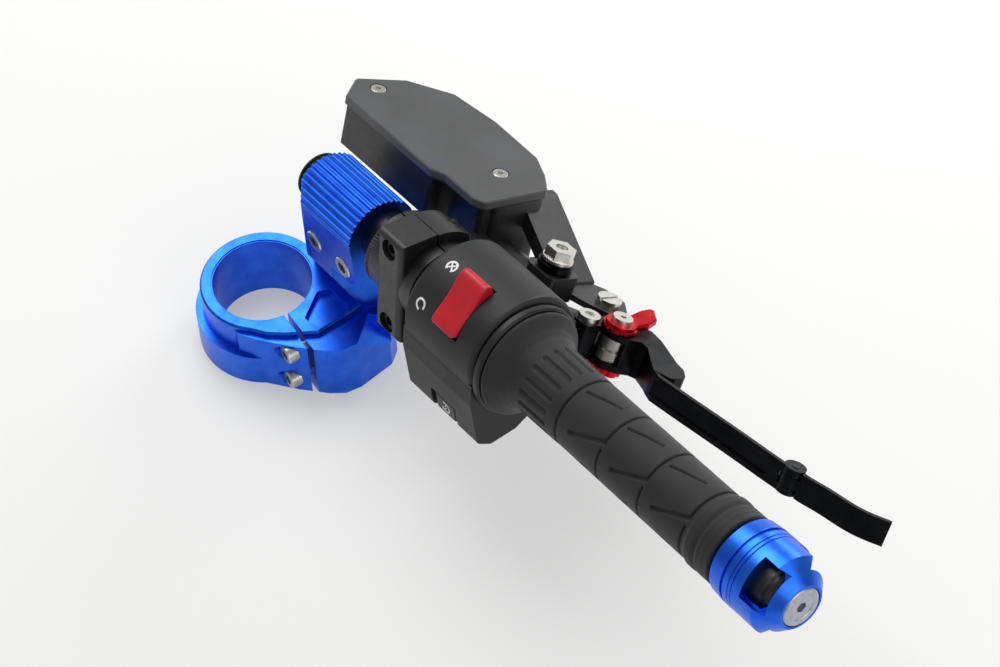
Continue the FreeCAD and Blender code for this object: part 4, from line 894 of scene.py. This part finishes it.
def makeWorld():
    world = bpy.data.worlds.new("studioWorld")
    world.use_nodes = True
    tree = world.node_tree
    tree.nodes.clear()
    seen = rayKinds(tree, "Is Camera Ray", "Is Transmission Ray")
    strength = spread(tree, seen, stageLook["world"], 1.0, fromLow=0.0, fromHigh=1.0)
    sky = addNode(tree, "ShaderNodeBackground", inputs={"Color": (1, 1, 1, 1), "Strength": strength})
    addNode(tree, "ShaderNodeOutputWorld", inputs={"Surface": sky.outputs[0]})
    bpy.context.scene.world = world


# Lamps stand in metres and shine in watts
lampList = {
    "keyLamp": {"at": (-0.25, 0.5, 1.1), "size": 1.0, "power": 10.5},
    "fillLamp": {"at": (0.9, -0.5, 0.5), "size": 0.9, "power": 3.0},
    "rimLamp": {"at": (0.5, 0.9, 0.45), "size": 0.5, "power": 4.0},
}


def makeLamps():
    for name, lamp in lampList.items():
        data = bpy.data.lights.new(name, "AREA")
        data.shape = "DISK"
        data.size = lamp["size"]
        data.energy = lamp["power"]
        light = bpy.data.objects.new(name, data)
        light.location = lamp["at"]
        aim = Vector(stageLook["lampTarget"]) - Vector(lamp["at"])
        light.rotation_euler = aim.to_track_quat("-Z", "Y").to_euler()
        bpy.context.scene.collection.objects.link(light)


# The photograph's camera: turns in degrees, lengths in millimetres from the middle between the forks
cameraPlace = {
    "yaw": -28.43, "pitch": 51.75, "roll": -12.02, "distance": 1505.1, "right": -28.2, "up": 47.9,
    "forkHalfSpacing": 102.2, "aim": (116.0, -34.0, 40.0), "lens": 124.0, "sensor": 36.0, "nearClip": 50.0,
}


def makeCamera():
    place = cameraPlace
    yaw, pitch, roll = (math.radians(place[k]) for k in ("yaw", "pitch", "roll"))
    look = Vector((math.sin(yaw) * math.cos(pitch), math.cos(yaw) * math.cos(pitch), -math.sin(pitch)))
    level = Vector((math.cos(yaw), -math.sin(yaw), 0))
    steep = level.cross(look)
    right = math.cos(roll) * level + math.sin(roll) * steep
    up = -math.sin(roll) * level + math.cos(roll) * steep
    stand = -(place["right"] * right + place["up"] * up + place["distance"] * look)
    stand = (stand - Vector((place["forkHalfSpacing"], 0, 0))) * mm
    backward = (stand - Vector(place["aim"]) * mm).normalized()
    across = up.cross(backward).normalized()
    upward = backward.cross(across)
    data = bpy.data.cameras.new("photoCamera")
    data.lens = place["lens"]
    data.sensor_width = place["sensor"]
    data.clip_start = place["nearClip"] * mm
    camera = bpy.data.objects.new("photoCamera", data)
    camera.matrix_world = Matrix.Translation(stand) @ Matrix((across, upward, backward)).transposed().to_4x4()
    bpy.context.scene.collection.objects.link(camera)
    bpy.context.scene.camera = camera


makeFloor()
makeWorld()
makeLamps()
makeCamera()
bpy.context.scene.view_settings.view_transform = "Standard"
print("stage, lamps and camera set")
